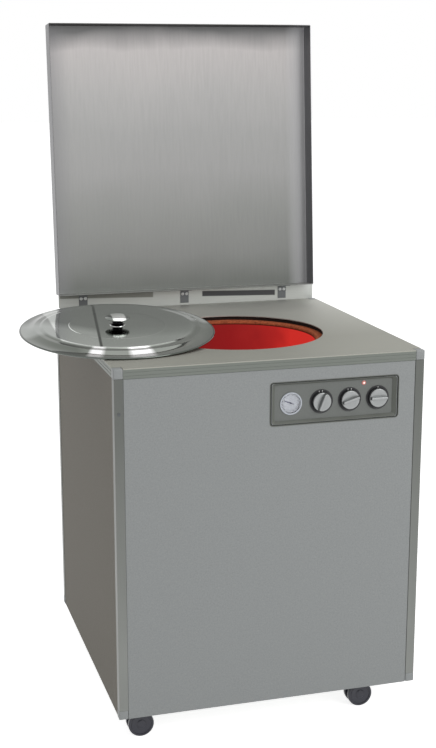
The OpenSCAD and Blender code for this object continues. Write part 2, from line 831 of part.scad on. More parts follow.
module terminal_block() {
    color("#e6e2d6") translate([terminal_at.x, terminal_at.y, base_top + terminal_size.z / 2])
        difference() {
            cube(terminal_size, center = true);
            for (i = [0 : terminal_ways - 1])
                translate([(i - (terminal_ways - 1) / 2) * terminal_pitch, 0, terminal_size.z / 4])
                    cylinder(r = 3, h = terminal_size.z, $fn = 24);
        }
}

// Bundles from the terminal block to the elements and to the controls
module wiring_loom() {
    lead_in = 8;
    wire_z = base_top + terminal_size.z / 2;
    wire_top = element_zs[2] + 10;
    reach = drum_r + element_pin_out + wire_r + seat;
    front = terminal_at.y - terminal_size.y / 2 - seat;
    left = terminal_at.x - terminal_size.x / 2 - seat;
    right = terminal_at.x + terminal_size.x / 2 + seat;
    behind = -half_d + 60;
    color("#7a3f3a") {
        a = about_pot(reach, element_pin_angles[0], 0);
        pipe([[a.x, a.y, wire_top], [a.x, a.y, wire_z],
              [terminal_at.x - terminal_pitch, front - lead_in, wire_z],
              [terminal_at.x - terminal_pitch, front, wire_z]], wire_r);
        b = about_pot(reach, element_pin_angles[1], 0);
        pipe([[b.x, b.y, wire_top], [b.x, b.y, wire_z],
              [left - lead_in, terminal_at.y, wire_z], [left, terminal_at.y, wire_z]], wire_r);
        pipe([[right, terminal_at.y, wire_z], [right + lead_in, terminal_at.y, wire_z],
              [right + lead_in, terminal_at.y, knob_z - 30],
              [right + lead_in, behind, knob_z - 30], [knob_xs[2], behind, knob_z - 10],
              [knob_xs[2], fascia_back + switch_size.y + seat, knob_z - 10]], loom_r);
    }
}

module cable_gland() {
    out_y = half_d - panel_recess;
    in_y = half_d - panel_in;
    color("#232426") translate([gland_x, 0, gland_at_z]) difference() {
        union() {
            translate([0, out_y, 0]) rod_y(gland_body_r + 4, 7, 6);
            translate([0, out_y + 6.5, 0]) rod_y(gland_body_r + 2, gland_out - 6.5, 48);
            translate([0, in_y - gland_in, 0]) rod_y(gland_body_r, gland_in + 6, 48);
            translate([0, in_y - gland_in + 1, 0]) rod_y(gland_body_r + 3, gland_in - 1, 6);
        }
        translate([0, in_y - gland_in - overcut, 0])
            rod_y(gland_bore_r, panel_t + gland_in + gland_out + 2 * overcut, 48);
    }
}

// ---- lid and hinges ----

// The rear upstand stands on the worktop's back edge and reaches up to the hinge axis
module rear_upstand() {
    w = upstand_w / 2;
    color("#8f9290") difference() {
        translate([0, half_d, 0]) rotate([90, 0, 0]) linear_extrude(upstand_t)
            polygon([[-w + upstand_cut, z_top], [w, z_top], [w, axis_z], [-w, axis_z],
                     [-w, z_top + upstand_cut]]);
        translate([0, hinge_y, axis_z]) leaf_screw_holes(1);
    }
}

// Holes for the two screws of each leaf, on the fixed side or on the lid's side of the axis
module leaf_screw_holes(side) {
    l = leaf_plane + upstand_t + overcut;
    for (x = hinge_xs) for (s = [-1, 1])
        translate([x + s * hinge_w / 4, side > 0 ? 0 : -l, -leaf_screw_drop])
            rod_y(leaf_screw_r, l, 24);
}

module pin_bore(x) {
    translate([x - hinge_w, 0, 0]) rotate([0, 90, 0])
        cylinder(r = hinge_pin_r + running, h = 2 * hinge_w, $fn = 48);
}

// Where the knuckles of one leaf start, the two outer ones or the middle one
function knuckle_starts(outer) =
    outer ? [-hinge_w / 2, hinge_w / 2 - knuckle_l] : [-knuckle_l / 2];

// A leaf behind the axis, cut as one sheet with the tabs that reach up to its knuckles
module hinge_leaf(x, outer) {
    back = leaf_plane - leaf_touch;
    w = hinge_w / 2;
    k = knuckle_l;
    top = outer
        ? [[w, 0], [w - k, 0], [w - k, -leaf_start], [-w + k, -leaf_start], [-w + k, 0], [-w, 0]]
        : [[w, -leaf_start], [k / 2, -leaf_start], [k / 2, 0], [-k / 2, 0],
           [-k / 2, -leaf_start], [-w, -leaf_start]];
    translate([x, 0, 0]) difference() {
        union() {
            for (start = knuckle_starts(outer)) translate([start, 0, 0]) rotate([0, 90, 0])
                cylinder(r = knuckle_r, h = k, $fn = 48);
            translate([0, back, 0]) rotate([90, 0, 0]) linear_extrude(leaf_t)
                polygon(concat([[-w, -leaf_h], [w, -leaf_h]], top));
        }
        pin_bore(0);
    }
}

module hinge_fixed_leaves() {
    color("#84878a") translate([0, hinge_y, axis_z]) difference() {
        for (x = hinge_xs) hinge_leaf(x, true);
        leaf_screw_holes(1);
    }
}

module hinge_pins() {
    color("#b9bbbc") for (x = hinge_xs)
        translate([x - hinge_w / 2 - 0.8, hinge_y, axis_z]) rotate([0, 90, 0])
            cylinder(r = hinge_pin_r, h = hinge_w + 1.6, $fn = 48);
}

// Everything on the lid is drawn closed about the hinge axis and then opened
module opened() {
    translate([0, hinge_y, axis_z]) rotate([-lid_open, 0, 0]) children();
}

// The lid is a tray: its top sheet with a skirt on each side
module lid_tray() {
    w = lid_w / 2;
    color("#b5b3b1") opened() difference() {
        translate([lid_x, 0, 0]) difference() {
            block([-w, lid_front, lid_low], [w, lid_rear, lid_rise]);
            block([-w + lid_t, lid_front + lid_t, lid_low - overcut],
                  [w - lid_t, lid_rear - lid_t, lid_rise - lid_t]);
        }
        leaf_screw_holes(-1);
    }
}

module lid_hinge_leaves() {
    color("#84878a") opened() difference() {
        for (x = hinge_xs) mirror([0, 1, 0]) hinge_leaf(x, false);
        leaf_screw_holes(-1);
    }
}

// ---- loose cover ----

module placed_cover() {
    translate([cover_x, cover_y, cover_z]) rotate([cover_tilt, 0, 0]) children();
}

// The cover's upper face from its centre to its rim, as radius and height
cover_line = [[0, cover_h], [cover_r * 0.48, cover_h], [cover_r * 0.49, cover_h + 0.7],
    [cover_r * 0.50, cover_h], [cover_r * 0.77, cover_h - 0.8], [cover_r * 0.79, cover_h - 3],
    [cover_r * 0.84, cover_h - 3.4], [cover_r * 0.86, cover_h - 5],
    [cover_r * 0.95, bead_r * 2 + 1]];
bead_arc = [for (a = [110 : -20 : -190])
    [cover_r - bead_r + bead_r * cos(a), bead_r + bead_r * sin(a)]];

module cover_pan() {
    under = [for (i = [len(cover_line) - 1 : -1 : 0]) cover_line[i] - [0, cover_t]];
    color("#b9bdb8") placed_cover() difference() {
        rotate_extrude($fn = 128) polygon(concat(cover_line, bead_arc, under));
        translate([0, 0, cover_h - cover_t - overcut])
            cylinder(r = cover_screw_r + seat, h = cover_t + 2 * overcut, $fn = 32);
    }
}

// A flared knob with a narrow waist
module cover_knob() {
    r = cover_knob_r;
    h = cover_knob_h;
    color("#c4c7c4") placed_cover() translate([0, 0, cover_h]) difference() {
        rotate_extrude($fn = 64)
            polygon([[0, 0], [r * 0.7, 0], [r * 0.68, h * 0.06], [r * 0.46, h * 0.17],
                     [r * 0.40, h * 0.32], [r * 0.46, h * 0.48], [r * 0.68, h * 0.66],
                     [r * 0.95, h * 0.80], [r, h * 0.86], [r * 0.97, h * 0.91],
                     [r * 0.6, h * 0.98], [0, h]]);
        translate([0, 0, -overcut])
            cylinder(r = cover_screw_r + running, h = h * 0.5 + overcut, $fn = 32);
    }
}

module cover_screw() {
    color("#9a9c9d") placed_cover() translate([0, 0, cover_h - cover_t - 2.2]) {
        cylinder(r = 6, h = 2.2, $fn = 48);
        cylinder(r = cover_screw_r, h = 2.2 + cover_t + cover_knob_h * 0.45, $fn = 32);
    }
}

module cover_rest() {
    color("#9fa2a0") translate([cover_x, rest_y, z_top])
        cylinder(r = rest_r, h = rest_top - z_top, $fn = 48);
}

// ---- castors ----

module at_castor(side, end) {
    translate([side * (half_w - castor_side), end * (half_d - castor_end), 0]) children();
}

module castor_plates() {
    plate = [60, 40];
    color("#8d9092") for (side = [-1, 1]) for (end = [-1, 1]) at_castor(side, end)
        difference() {
            union() {
                translate([-plate.x / 2, -plate.y / 2, castor_plate_z])
                    cube([plate.x, plate.y, castor_plate_t]);
                translate([0, 0, castor_plate_z - bush_h])
                    cylinder(r = bush_r, h = bush_h + 0.5, $fn = 48);
            }
            translate([0, 0, castor_plate_z - bush_h - overcut])
                cylinder(r = stem_r + running, h = bush_h + 2 + overcut, $fn = 48);
        }
}

// The body between the two wheels of a castor, with the swivel stem on top
module castor_fork(side, end) {
    web = wheel_gap - 2 * seat - 1;
    boss_r = 13;
    color("#26282c") at_castor(side, end) difference() {
        union() {
            translate([-castor_trail, -web / 2, axle_z]) rod_y(boss_r, web, 48);
            translate([0, web / 2, 0]) rotate([90, 0, 0]) linear_extrude(web)
                polygon([[-castor_trail - boss_r * 0.8, axle_z + boss_r * 0.5],
                         [-castor_trail + 2, fork_under - 3], [-fork_reach, fork_under],
                         [-10, swivel_top], [11, swivel_top], [11, swivel_top - swivel_h - 3],
                         [-castor_trail + boss_r * 0.8, axle_z - boss_r * 0.5]]);
            translate([0, 0, swivel_top - swivel_h]) cylinder(r = 13, h = swivel_h, $fn = 48);
            translate([0, 0, swivel_top - 1]) cylinder(r = stem_r, h = bush_h + 2, $fn = 48);
        }
        translate([-castor_trail, -web, axle_z]) rod_y(axle_r + running, 2 * web, 48);
    }
}

// A pair of wheels pressed on one axle
module castor_wheels(side, end) {
    inner = wheel_gap / 2;
    r = wheel_d / 2;
    color("#3a3d4a") at_castor(side, end) translate([-castor_trail, 0, axle_z]) {
        for (s = [0, 1]) mirror([0, s, 0]) difference() {
            translate([0, inner, 0]) rotate([-90, 0, 0]) rotate_extrude($fn = 96)
                polygon([[axle_r + running, 0], [r - 1, 0], [r, 1], [r, wheel_w - 2.5],
                         [r - 2.5, wheel_w], [r * 0.82, wheel_w], [r * 0.79, wheel_w - 1.2],
                         [r * 0.76, wheel_w - 0.3], [r * 0.3, wheel_w - 0.3],
                         [r * 0.26, wheel_w], [axle_r + running, wheel_w]]);
        }
        translate([0, -inner - wheel_w + 1, 0]) rod_y(axle_r, 2 * (inner + wheel_w - 1), 48);
    }
}

base_plate();
bottom_rails();
corner_posts();
top_rails();
corner_caps();
front_panel();
left_panel();
right_panel();
rear_panel();
panel_screws();
worktop();
rear_upstand();
hinge_fixed_leaves();
hinge_pins();
cover_rest();
clay_pot();
pot_floor_tile();
pot_cradle();
mouth_gasket();
insulation();
heater_drum();
heating_elements();
element_holders();
control_bezel();
control_fascia();
gauge_case();
gauge_dial();
gauge_glass();
gauge_needle();
pilot_lamp_body();
pilot_lamp_lens();
knob_escutcheons();
thermostat();
selector_switches();
capillary_tubes();
terminal_block();
wiring_loom();
cable_gland();
castor_plates();
knob_shaft(0);  // thermostat_shaft
knob_cap(0);  // thermostat_knob
knob_shaft(1);  // lower_heat_shaft
knob_cap(1);  // lower_heat_knob
knob_shaft(2);  // upper_heat_shaft
knob_cap(2);  // upper_heat_knob
castor_fork(-1, -1);  // front_left_fork
castor_fork(1, -1);  // front_right_fork
castor_fork(-1, 1);  // rear_left_fork
castor_fork(1, 1);  // rear_right_fork
castor_wheels(-1, -1);  // front_left_wheels
castor_wheels(1, -1);  // front_right_wheels
castor_wheels(-1, 1);  // rear_left_wheels
castor_wheels(1, 1);  // rear_right_wheels
lid_tray();
lid_hinge_leaves();
cover_pan();
cover_knob();
cover_screw();
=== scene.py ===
"""Looks of an electric clay tandoor oven, dressed round its packed construction.

The construction gives every piece its place. This script gives each one its finish, and models
again, finer, the pieces that show from close by: the folded lid, the spun cover, the clay pot,
the control panel, the corner caps and the castor wheels.
"""
from __future__ import annotations

import json
import logging
import math
from dataclasses import dataclass, field
from enum import Enum
from typing import Callable, Sequence

import bmesh
import bpy
from mathutils import Matrix, Vector

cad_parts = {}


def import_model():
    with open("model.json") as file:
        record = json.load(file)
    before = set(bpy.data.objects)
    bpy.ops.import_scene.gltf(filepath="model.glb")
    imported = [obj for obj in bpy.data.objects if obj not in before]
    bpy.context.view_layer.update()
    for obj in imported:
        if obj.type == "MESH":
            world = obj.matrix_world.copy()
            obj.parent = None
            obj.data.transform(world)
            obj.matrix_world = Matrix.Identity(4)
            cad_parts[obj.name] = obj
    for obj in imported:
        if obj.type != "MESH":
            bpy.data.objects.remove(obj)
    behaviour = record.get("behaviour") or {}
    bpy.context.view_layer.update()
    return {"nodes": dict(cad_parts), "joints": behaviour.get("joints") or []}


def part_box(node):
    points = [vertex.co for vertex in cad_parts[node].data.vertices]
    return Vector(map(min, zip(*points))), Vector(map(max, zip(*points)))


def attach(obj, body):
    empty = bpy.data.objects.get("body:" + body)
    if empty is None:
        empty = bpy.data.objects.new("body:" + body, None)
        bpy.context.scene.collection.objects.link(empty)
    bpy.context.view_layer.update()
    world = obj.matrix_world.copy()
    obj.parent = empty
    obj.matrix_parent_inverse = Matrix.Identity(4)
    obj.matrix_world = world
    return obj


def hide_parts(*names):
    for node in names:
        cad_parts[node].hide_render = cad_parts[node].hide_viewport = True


LOG = logging.getLogger("tandoor")
MM = 0.001
PHOTO_WIDTH = 436
PHOTO_HEIGHT = 748
SMOOTH_ANGLE = math.radians(35)
SHARP_ANGLE = math.radians(40)
QUARTER = math.pi / 2
SQUARE = 0.9
CLOSE = 1e-6
CASTORS = ("front_left", "front_right", "rear_left", "rear_right")

Point = tuple[float, float, float]
Profile = Sequence[tuple[float, float]]
Stops = Sequence[tuple[float, str]]
Socket = bpy.types.NodeSocket
Material = bpy.types.Material
Piece = bpy.types.Object


class Body(str, Enum):
    """Bodies of the construction that new pieces ride on."""

    CABINET = "cabinet"
    LID = "lid"
    COVER = "cover"
    THERMOSTAT = "thermostat_control"
    LOWER_HEAT = "lower_heat_control"
    UPPER_HEAT = "upper_heat_control"
    GAUGE = "gauge_pointer"


class Axis(Enum):
    """Direction in which a sheet was brushed, or along which its painted light fades."""

    X = (1.0, 0.0, 0.0)
    Y = (0.0, 1.0, 0.0)
    Z = (0.0, 0.0, 1.0)


class Part(Enum):
    """Kinds of mesh part that can be picked, with Blender's name for each."""

    VERTS = "VERT"
    EDGES = "EDGE"
    FACES = "FACE"


# ---- colours and nodes ----


def linear(value: object) -> object:
    """Turns an sRGB hex colour into linear light, and leaves any other value as it is.

    Args:
        value: Six hex digits with a leading #, or a value that a socket takes.

    Returns:
        Red, green, blue and an alpha of 1, or the value.
    """
    if not isinstance(value, str):
        return value
    parts = (int(value[i:i + 2], 16) / 255 for i in (1, 3, 5))
    return tuple(p / 12.92 if p <= 0.04045 else ((p + 0.055) / 1.055) ** 2.4 for p in parts) + (1.0,)


@dataclass(frozen=True)
class Nodes:
    """A node tree that grows by one call for each node."""

    tree: bpy.types.NodeTree

    def add(self, kind: str, links: dict | None = None, output: int | str = 0, stops: Sequence = (),
            **settings) -> Socket | None:
        """Adds a node with its settings and its links.

        Args:
            kind: The node's type name without ShaderNode in front.
            links: Socket name or number to a value, to a hex colour, or to the output that feeds it.
            output: Name or number of the output that is wanted.
            stops: Places and colours of a colour ramp, in rising order.
            **settings: Properties of the node itself.

        Returns:
            The output, or nothing where the node has none.
        """
        node = self.tree.nodes.new(f"ShaderNode{kind}")
        for name, value in settings.items():
            setattr(node, name, value)
        for key, value in (links or {}).items():
            if isinstance(value, Socket):
                self.tree.links.new(value, node.inputs[key])
            else:
                node.inputs[key].default_value = linear(value)
        while stops and len(node.color_ramp.elements) < len(stops):
            node.color_ramp.elements.new(0.5)
        for element, (place, tone) in zip(node.color_ramp.elements if stops else (), stops):
            element.position = place
            element.color = linear(tone)
        return node.outputs[output] if node.outputs else None

    def place(self, scale: float | Point, centre: Point = (0, 0, 0)) -> Socket:
        """Gives object coordinates, centred and scaled.

        Args:
            scale: Pattern units per metre, alike or along X, Y and Z.
            centre: Point of the object that becomes the pattern's zero.

        Returns:
            The vector.
        """
        scales = scale if isinstance(scale, tuple) else (scale,) * 3
        moved = self.add("VectorMath", {0: self.add("TexCoord", output="Object"), 1: centre},
                         operation="SUBTRACT")
        return self.add("VectorMath", {0: moved, 1: scales}, operation="MULTIPLY")

    def spread(self, value: Socket, low: float, high: float, start: float = 0.3, end: float = 0.7) -> Socket:
        """Maps a pattern's middle range to a low and a high value."""
        return self.add("MapRange", {"Value": value, "From Min": start, "From Max": end,
                                     "To Min": low, "To Max": high})

    def tinted(self, value: Socket, colour: str, swing: float) -> Socket:
        """Varies a colour's brightness with a pattern.

        Args:
            value: The pattern, from 0 to 1.
            colour: The middle colour.
            swing: Share by which the colour darkens and brightens.

        Returns:
            The colour.
        """
        dark, light = (tuple(min(1.0, c * (1 + side * swing)) for c in linear(colour)[:3]) + (1.0,)
                       for side in (-1, 1))
        return self.add("ValToRGB", {0: value}, stops=((0.25, dark), (0.75, light)))

    def layered(self, colour: Socket | str, *layers: tuple[Socket, Socket | str]) -> Socket:
        """Lays tones over a colour in turn.

        Args:
            colour: The colour at the bottom.
            *layers: Share and tone of each layer.

        Returns:
            The colour on top.
        """
        for share, tone in layers:
            colour = self.add("Mix", {0: share, 6: colour, 7: tone}, 2, data_type="RGBA")
        return colour

    def between(self, value: Socket, low: float, high: float, soft: float) -> Socket:
        """Gives 1 between two values and 0 outside them.

        Args:
            value: Value to test.
            low: Where the stretch starts.
            high: Where it ends.
            soft: Half the width over which each end fades.

        Returns:
            The share from 0 to 1.
        """
        rise = self.spread(value, 0.0, 1.0, low - soft, low + soft)
        fall = self.spread(value, 1.0, 0.0, high - soft, high + soft)
        return self.add("Math", {0: rise, 1: fall}, operation="MULTIPLY")

    def seen(self) -> Socket:
        """Gives 1 to the camera's rays and to what mirrors or passes them, and 0 to the lamps' light."""
        rays = self.add("LightPath", output="Is Camera Ray")
        for kind in ("Is Glossy Ray", "Is Transmission Ray"):
            other = self.add("LightPath", output=kind)
            rays = self.add("Math", {0: rays, 1: other}, operation="MAXIMUM")
        return rays


def start_material(name: str) -> tuple[Material, Nodes]:
    """Makes an empty node material.

    Args:
        name: The material's name.

    Returns:
        The material and its nodes.
    """
    material = bpy.data.materials.new(name)
    material.use_nodes = True
    material.node_tree.nodes.clear()
    return material, Nodes(material.node_tree)


# ---- finishes ----


@dataclass(frozen=True)
class Finish:
    """A finish: one shader, whose inputs each kind of surface works out for itself."""

    name: str

    def build(self) -> Material:
        """Builds the material from the inputs of its kind of surface."""
        material, nodes = start_material(self.name)
        nodes.add("OutputMaterial", {"Surface": nodes.add("BsdfPrincipled", self.inputs(nodes))})
        return material

    def inputs(self, nodes: Nodes) -> dict:
        """Gives the shader's inputs, by name."""
        raise NotImplementedError


@dataclass(frozen=True)
class BrushedStainless(Finish):
    """Stainless sheet, drawn under a belt: long fine streaks that blur what it mirrors.

    The streaks are drawn as coarse as they need to show. A painted light fade names an axis, the
    places where it starts and ends, and the tone that it reaches; it paints light and shade into the
    sheet's tone along that axis.
    """

    colour: str
    grain: Axis = Axis.X
    roughness: float = 0.34
    streak_width: float = 1.2 * MM
    streak_length: float = 90 * MM
    swing: float = 0.10
    painted_light_fade: tuple[Axis, float, float, str] | None = None

    def inputs(self, nodes: Nodes) -> dict:
        """Works tone, gloss and bump out from the streaks and a faint cloud.

        Args:
            nodes: Nodes to add to.

        Returns:
            The shader's inputs.
        """
        scale = tuple(1 / (self.streak_length if part else self.streak_width) for part in self.grain.value)
        streaks = nodes.add("TexNoise", {
            "Vector": nodes.place(scale), "Scale": 1.0, "Detail": 3.0, "Roughness": 0.6})
        cloud = nodes.add("TexNoise", {"Vector": nodes.place(1 / (160 * MM)), "Scale": 1.0, "Detail": 2.0})
        mixed = nodes.add("Math", {0: streaks, 1: cloud}, operation="ADD")
        pattern = nodes.add("Math", {0: mixed, 1: 0.5}, operation="MULTIPLY")
        colour = nodes.tinted(pattern, self.colour, self.swing)
        # Painted light: the sheet's tone blends towards the fade's tone along its axis.
        if self.painted_light_fade:
            axis, start, end, tone = self.painted_light_fade
            place = nodes.add("SeparateXYZ", {0: nodes.place(1.0)}, axis.name)
            colour = nodes.layered(colour, (nodes.spread(place, 0.0, 1.0, start, end),
                                            nodes.tinted(pattern, tone, self.swing)))
        return {"Base Color": colour, "Metallic": 1.0,
                "Roughness": nodes.spread(pattern, self.roughness - 0.06, self.roughness + 0.06),
                "Normal": nodes.add("Bump", {"Height": streaks, "Strength": 0.12, "Distance": 0.05 * MM})}


@dataclass(frozen=True)
class LidStainless(Finish):
    """The lid's inside: stainless sheet, belt-drawn from its front to its hinges.

    The belt leaves streaks some 3 mm apart, drawn coarser than the real ones so that they show, and
    steam has dulled the sheet, so that it mirrors nothing sharply. What it mirrors and the shade on it
    are painted into its tone: it is brightest a fifth of the way down and darker towards its top, its
    left rim and its foot, with a painted highlight on its right rim, its own painted tone on faces
    turned to the left, and a painted highlight on the skirt at the foot, where light from above falls.
    """

    low: Point
    high: Point
    # Painted reflection and shade down the sheet, from its foot to its top.
    tones: Stops = (
        (0.03, "#5C5E5B"), (0.14, "#6D6E6C"), (0.29, "#767775"), (0.45, "#828281"), (0.60, "#868685"),
        (0.75, "#908F8E"), (0.90, "#9B9897"), (0.975, "#626262"))
    # Painted shade on the left rim, a painted highlight on the right rim, a painted tone on faces turned to
    # the left, and a painted highlight on the upward faces of the foot skirt.
    rim: str = "#6E6E70"
    rim_right: str = "#A2A2A4"
    foot_skirt_painted_highlight: str = "#B4B5B2"
    side_skirt: str = "#838385"
    roughness: float = 0.45

    def inputs(self, nodes: Nodes) -> dict:
        """Works the tone out from upright streaks and from painted reflection and shade that follow the
        sheet's own shape.

        Args:
            nodes: Nodes to add to.

        Returns:
            The shader's inputs.
        """
        width, height = self.high[0] - self.low[0], self.high[2] - self.low[2]
        streaks = nodes.add("TexNoise", {
            "Vector": nodes.place((1 / (6 * MM), 1 / (6 * MM), 1 / (500 * MM))), "Scale": 1.0,
            "Detail": 4.0, "Roughness": 0.6})
        cloud = nodes.add("TexNoise", {"Vector": nodes.place(1 / (200 * MM)), "Scale": 1.0, "Detail": 2.0})
        across = nodes.add("SeparateXYZ", {0: nodes.place((1 / width, 1.0, 1 / height), self.low)})
        wobble = nodes.add("Math", {0: cloud, 1: 0.12, 2: -0.06}, operation="MULTIPLY_ADD")
        upright = nodes.add("Math", {0: across.node.outputs["Z"], 1: wobble}, operation="ADD")
        from_middle = nodes.add("Math", {0: across, 1: 0.5}, operation="SUBTRACT")
        facing = nodes.add("SeparateXYZ", {0: nodes.add("TexCoord", output="Normal")})
        # Painted light: reflection and shade by height, painted shade on the left rim, a painted highlight on
        # the right rim, a painted tone on faces turned to the left, and a painted highlight on the foot
        # skirt.
        colour = nodes.layered(
            nodes.add("ValToRGB", {0: upright}, stops=self.tones),
            (nodes.spread(from_middle, 0.6, 0.0, -0.50, -0.42), self.rim),
            (nodes.spread(from_middle, 0.0, 0.8, 0.42, 0.50), self.rim_right),
            (nodes.spread(facing, 1.0, 0.0, -0.9, -0.6), self.side_skirt),
            (nodes.spread(facing.node.outputs["Z"], 0.0, 1.0, 0.6, 0.9), self.foot_skirt_painted_highlight))
        lines = nodes.add("ValToRGB", {0: streaks}, stops=((0.35, "#9A9A9A"), (0.65, "#D2D2D2")))
        streaked = nodes.add("Mix", {0: 0.16, 6: colour, 7: lines}, 2, data_type="RGBA", blend_type="OVERLAY")
        return {"Base Color": streaked, "Metallic": 1.0,
                "Roughness": nodes.spread(streaks, self.roughness - 0.04, self.roughness + 0.06)}


@dataclass(frozen=True)
class MirroringUpstand(Finish):
    """The upstand behind the mouth: bright sheet that mirrors the dark kitchen in two bands.

    What it mirrors there is painted on, with soft ends, as the studio has no kitchen.
    """

    colour: str
    dim: str
    dark: str
    top: float
    drop: float = 4 * MM
    band: float = 14 * MM
    slope: float = -0.030
    dim_span: tuple[float, float] = (-340 * MM, -96 * MM)
    dark_span: tuple[float, float] = (36 * MM, 237 * MM)

    def inputs(self, nodes: Nodes) -> dict:
        """Works the tone out from a level band that has a dim stretch and a dark stretch.

        Args:
            nodes: Nodes to add to.

        Returns:
            The shader's inputs.
        """
        across = nodes.add("SeparateXYZ", {0: nodes.place(1.0)})
        level = nodes.add("Math", {0: across, 1: -self.slope, 2: across.node.outputs["Z"]},
                          operation="MULTIPLY_ADD")
        high = self.top - self.drop
        banded = nodes.between(level, high - self.band, high, 1.0 * MM)
        streaks = nodes.add("TexNoise", {
            "Vector": nodes.place((1 / (90 * MM), 1.0, 1 / (2 * MM))), "Scale": 1.0, "Detail": 2.0})
        colour = nodes.tinted(streaks, self.colour, 0.03)
        for tone, (start, end) in ((self.dim, self.dim_span), (self.dark, self.dark_span)):
            share = nodes.add("Math", {0: nodes.between(across, start, end, 1.5 * MM), 1: banded},
                              operation="MULTIPLY")
            colour = nodes.layered(colour, (share, tone))
        return {"Base Color": colour, "Metallic": 0.85, "Roughness": 0.5}


@dataclass(frozen=True)
class HammeredPaint(Finish):
    """Grey hammered stove paint, sprayed: small dimples and a mottled tone."""

    colour: str
    swing: float = 0.13
    dimple: float = 3.2 * MM
    roughness: float = 0.5

    def inputs(self, nodes: Nodes) -> dict:
        """Works tone, gloss and bump out from cells a few millimetres wide.

        Args:
            nodes: Nodes to add to.

        Returns:
            The shader's inputs.
        """
        speckle = nodes.add("TexNoise", {
            "Vector": nodes.place(1 / self.dimple), "Scale": 1.0, "Detail": 3.0, "Roughness": 0.7,
            "Distortion": 0.6})
        cells = nodes.add("TexVoronoi", {"Vector": nodes.place(1 / (self.dimple * 1.6)), "Scale": 1.0})
        return {"Base Color": nodes.tinted(speckle, self.colour, self.swing), "Metallic": 0.1,
                "Specular IOR Level": 0.3,
                "Roughness": nodes.spread(speckle, self.roughness - 0.08, self.roughness + 0.08),
                "Normal": nodes.add("Bump", {"Height": cells, "Strength": 0.35, "Distance": 0.4 * MM})}


@dataclass(frozen=True)
class Grained(Finish):
    """A surface with one fine pattern, which is both a change of tone and a low bump."""

    colour: str
    roughness: float = 0.4
    metallic: float = 0.0
    swing: float = 0.05
    size: float = 2.5 * MM
    detail: float = 2.0
    roughening: float = 0.5
    strength: float = 0.15
    depth: float = 0.1 * MM
    specular: float = 0.5

    def inputs(self, nodes: Nodes) -> dict:
        """Works tone and bump out from one fine pattern.

        Args:
            nodes: Nodes to add to.

        Returns:
            The shader's inputs.
        """
        pattern = nodes.add("TexNoise", {
            "Vector": nodes.place(1 / self.size), "Scale": 1.0, "Detail": self.detail,
            "Roughness": self.roughening})
        return {"Base Color": nodes.tinted(pattern, self.colour, self.swing), "Metallic": self.metallic,
                "Roughness": self.roughness, "Specular IOR Level": self.specular,
                "Normal": nodes.add("Bump", {
                    "Height": pattern, "Strength": self.strength, "Distance": self.depth})}


class SatinPaint(Grained):
    """Smooth sprayed enamel with a faint orange peel."""


@dataclass(frozen=True)
class MouldedPlastic(Grained):
    """Injection-moulded nylon, ABS or rubber with a fine spark-eroded texture."""

    roughness: float = 0.45
    swing: float = 0.06
    size: float = 0.8 * MM
    strength: float = 0.2
    depth: float = 0.05 * MM


@dataclass(frozen=True)
class GrainyMineral(Grained):
    """A dry mineral or fibre surface, such as unglazed ceramic or a pressed fibre ring."""

    roughness: float = 0.95
    swing: float = 0.2
    size: float = 2.0 * MM
    detail: float = 4.0
    roughening: float = 0.7
    strength: float = 0.5
    depth: float = 0.4 * MM
    specular: float = 0.25


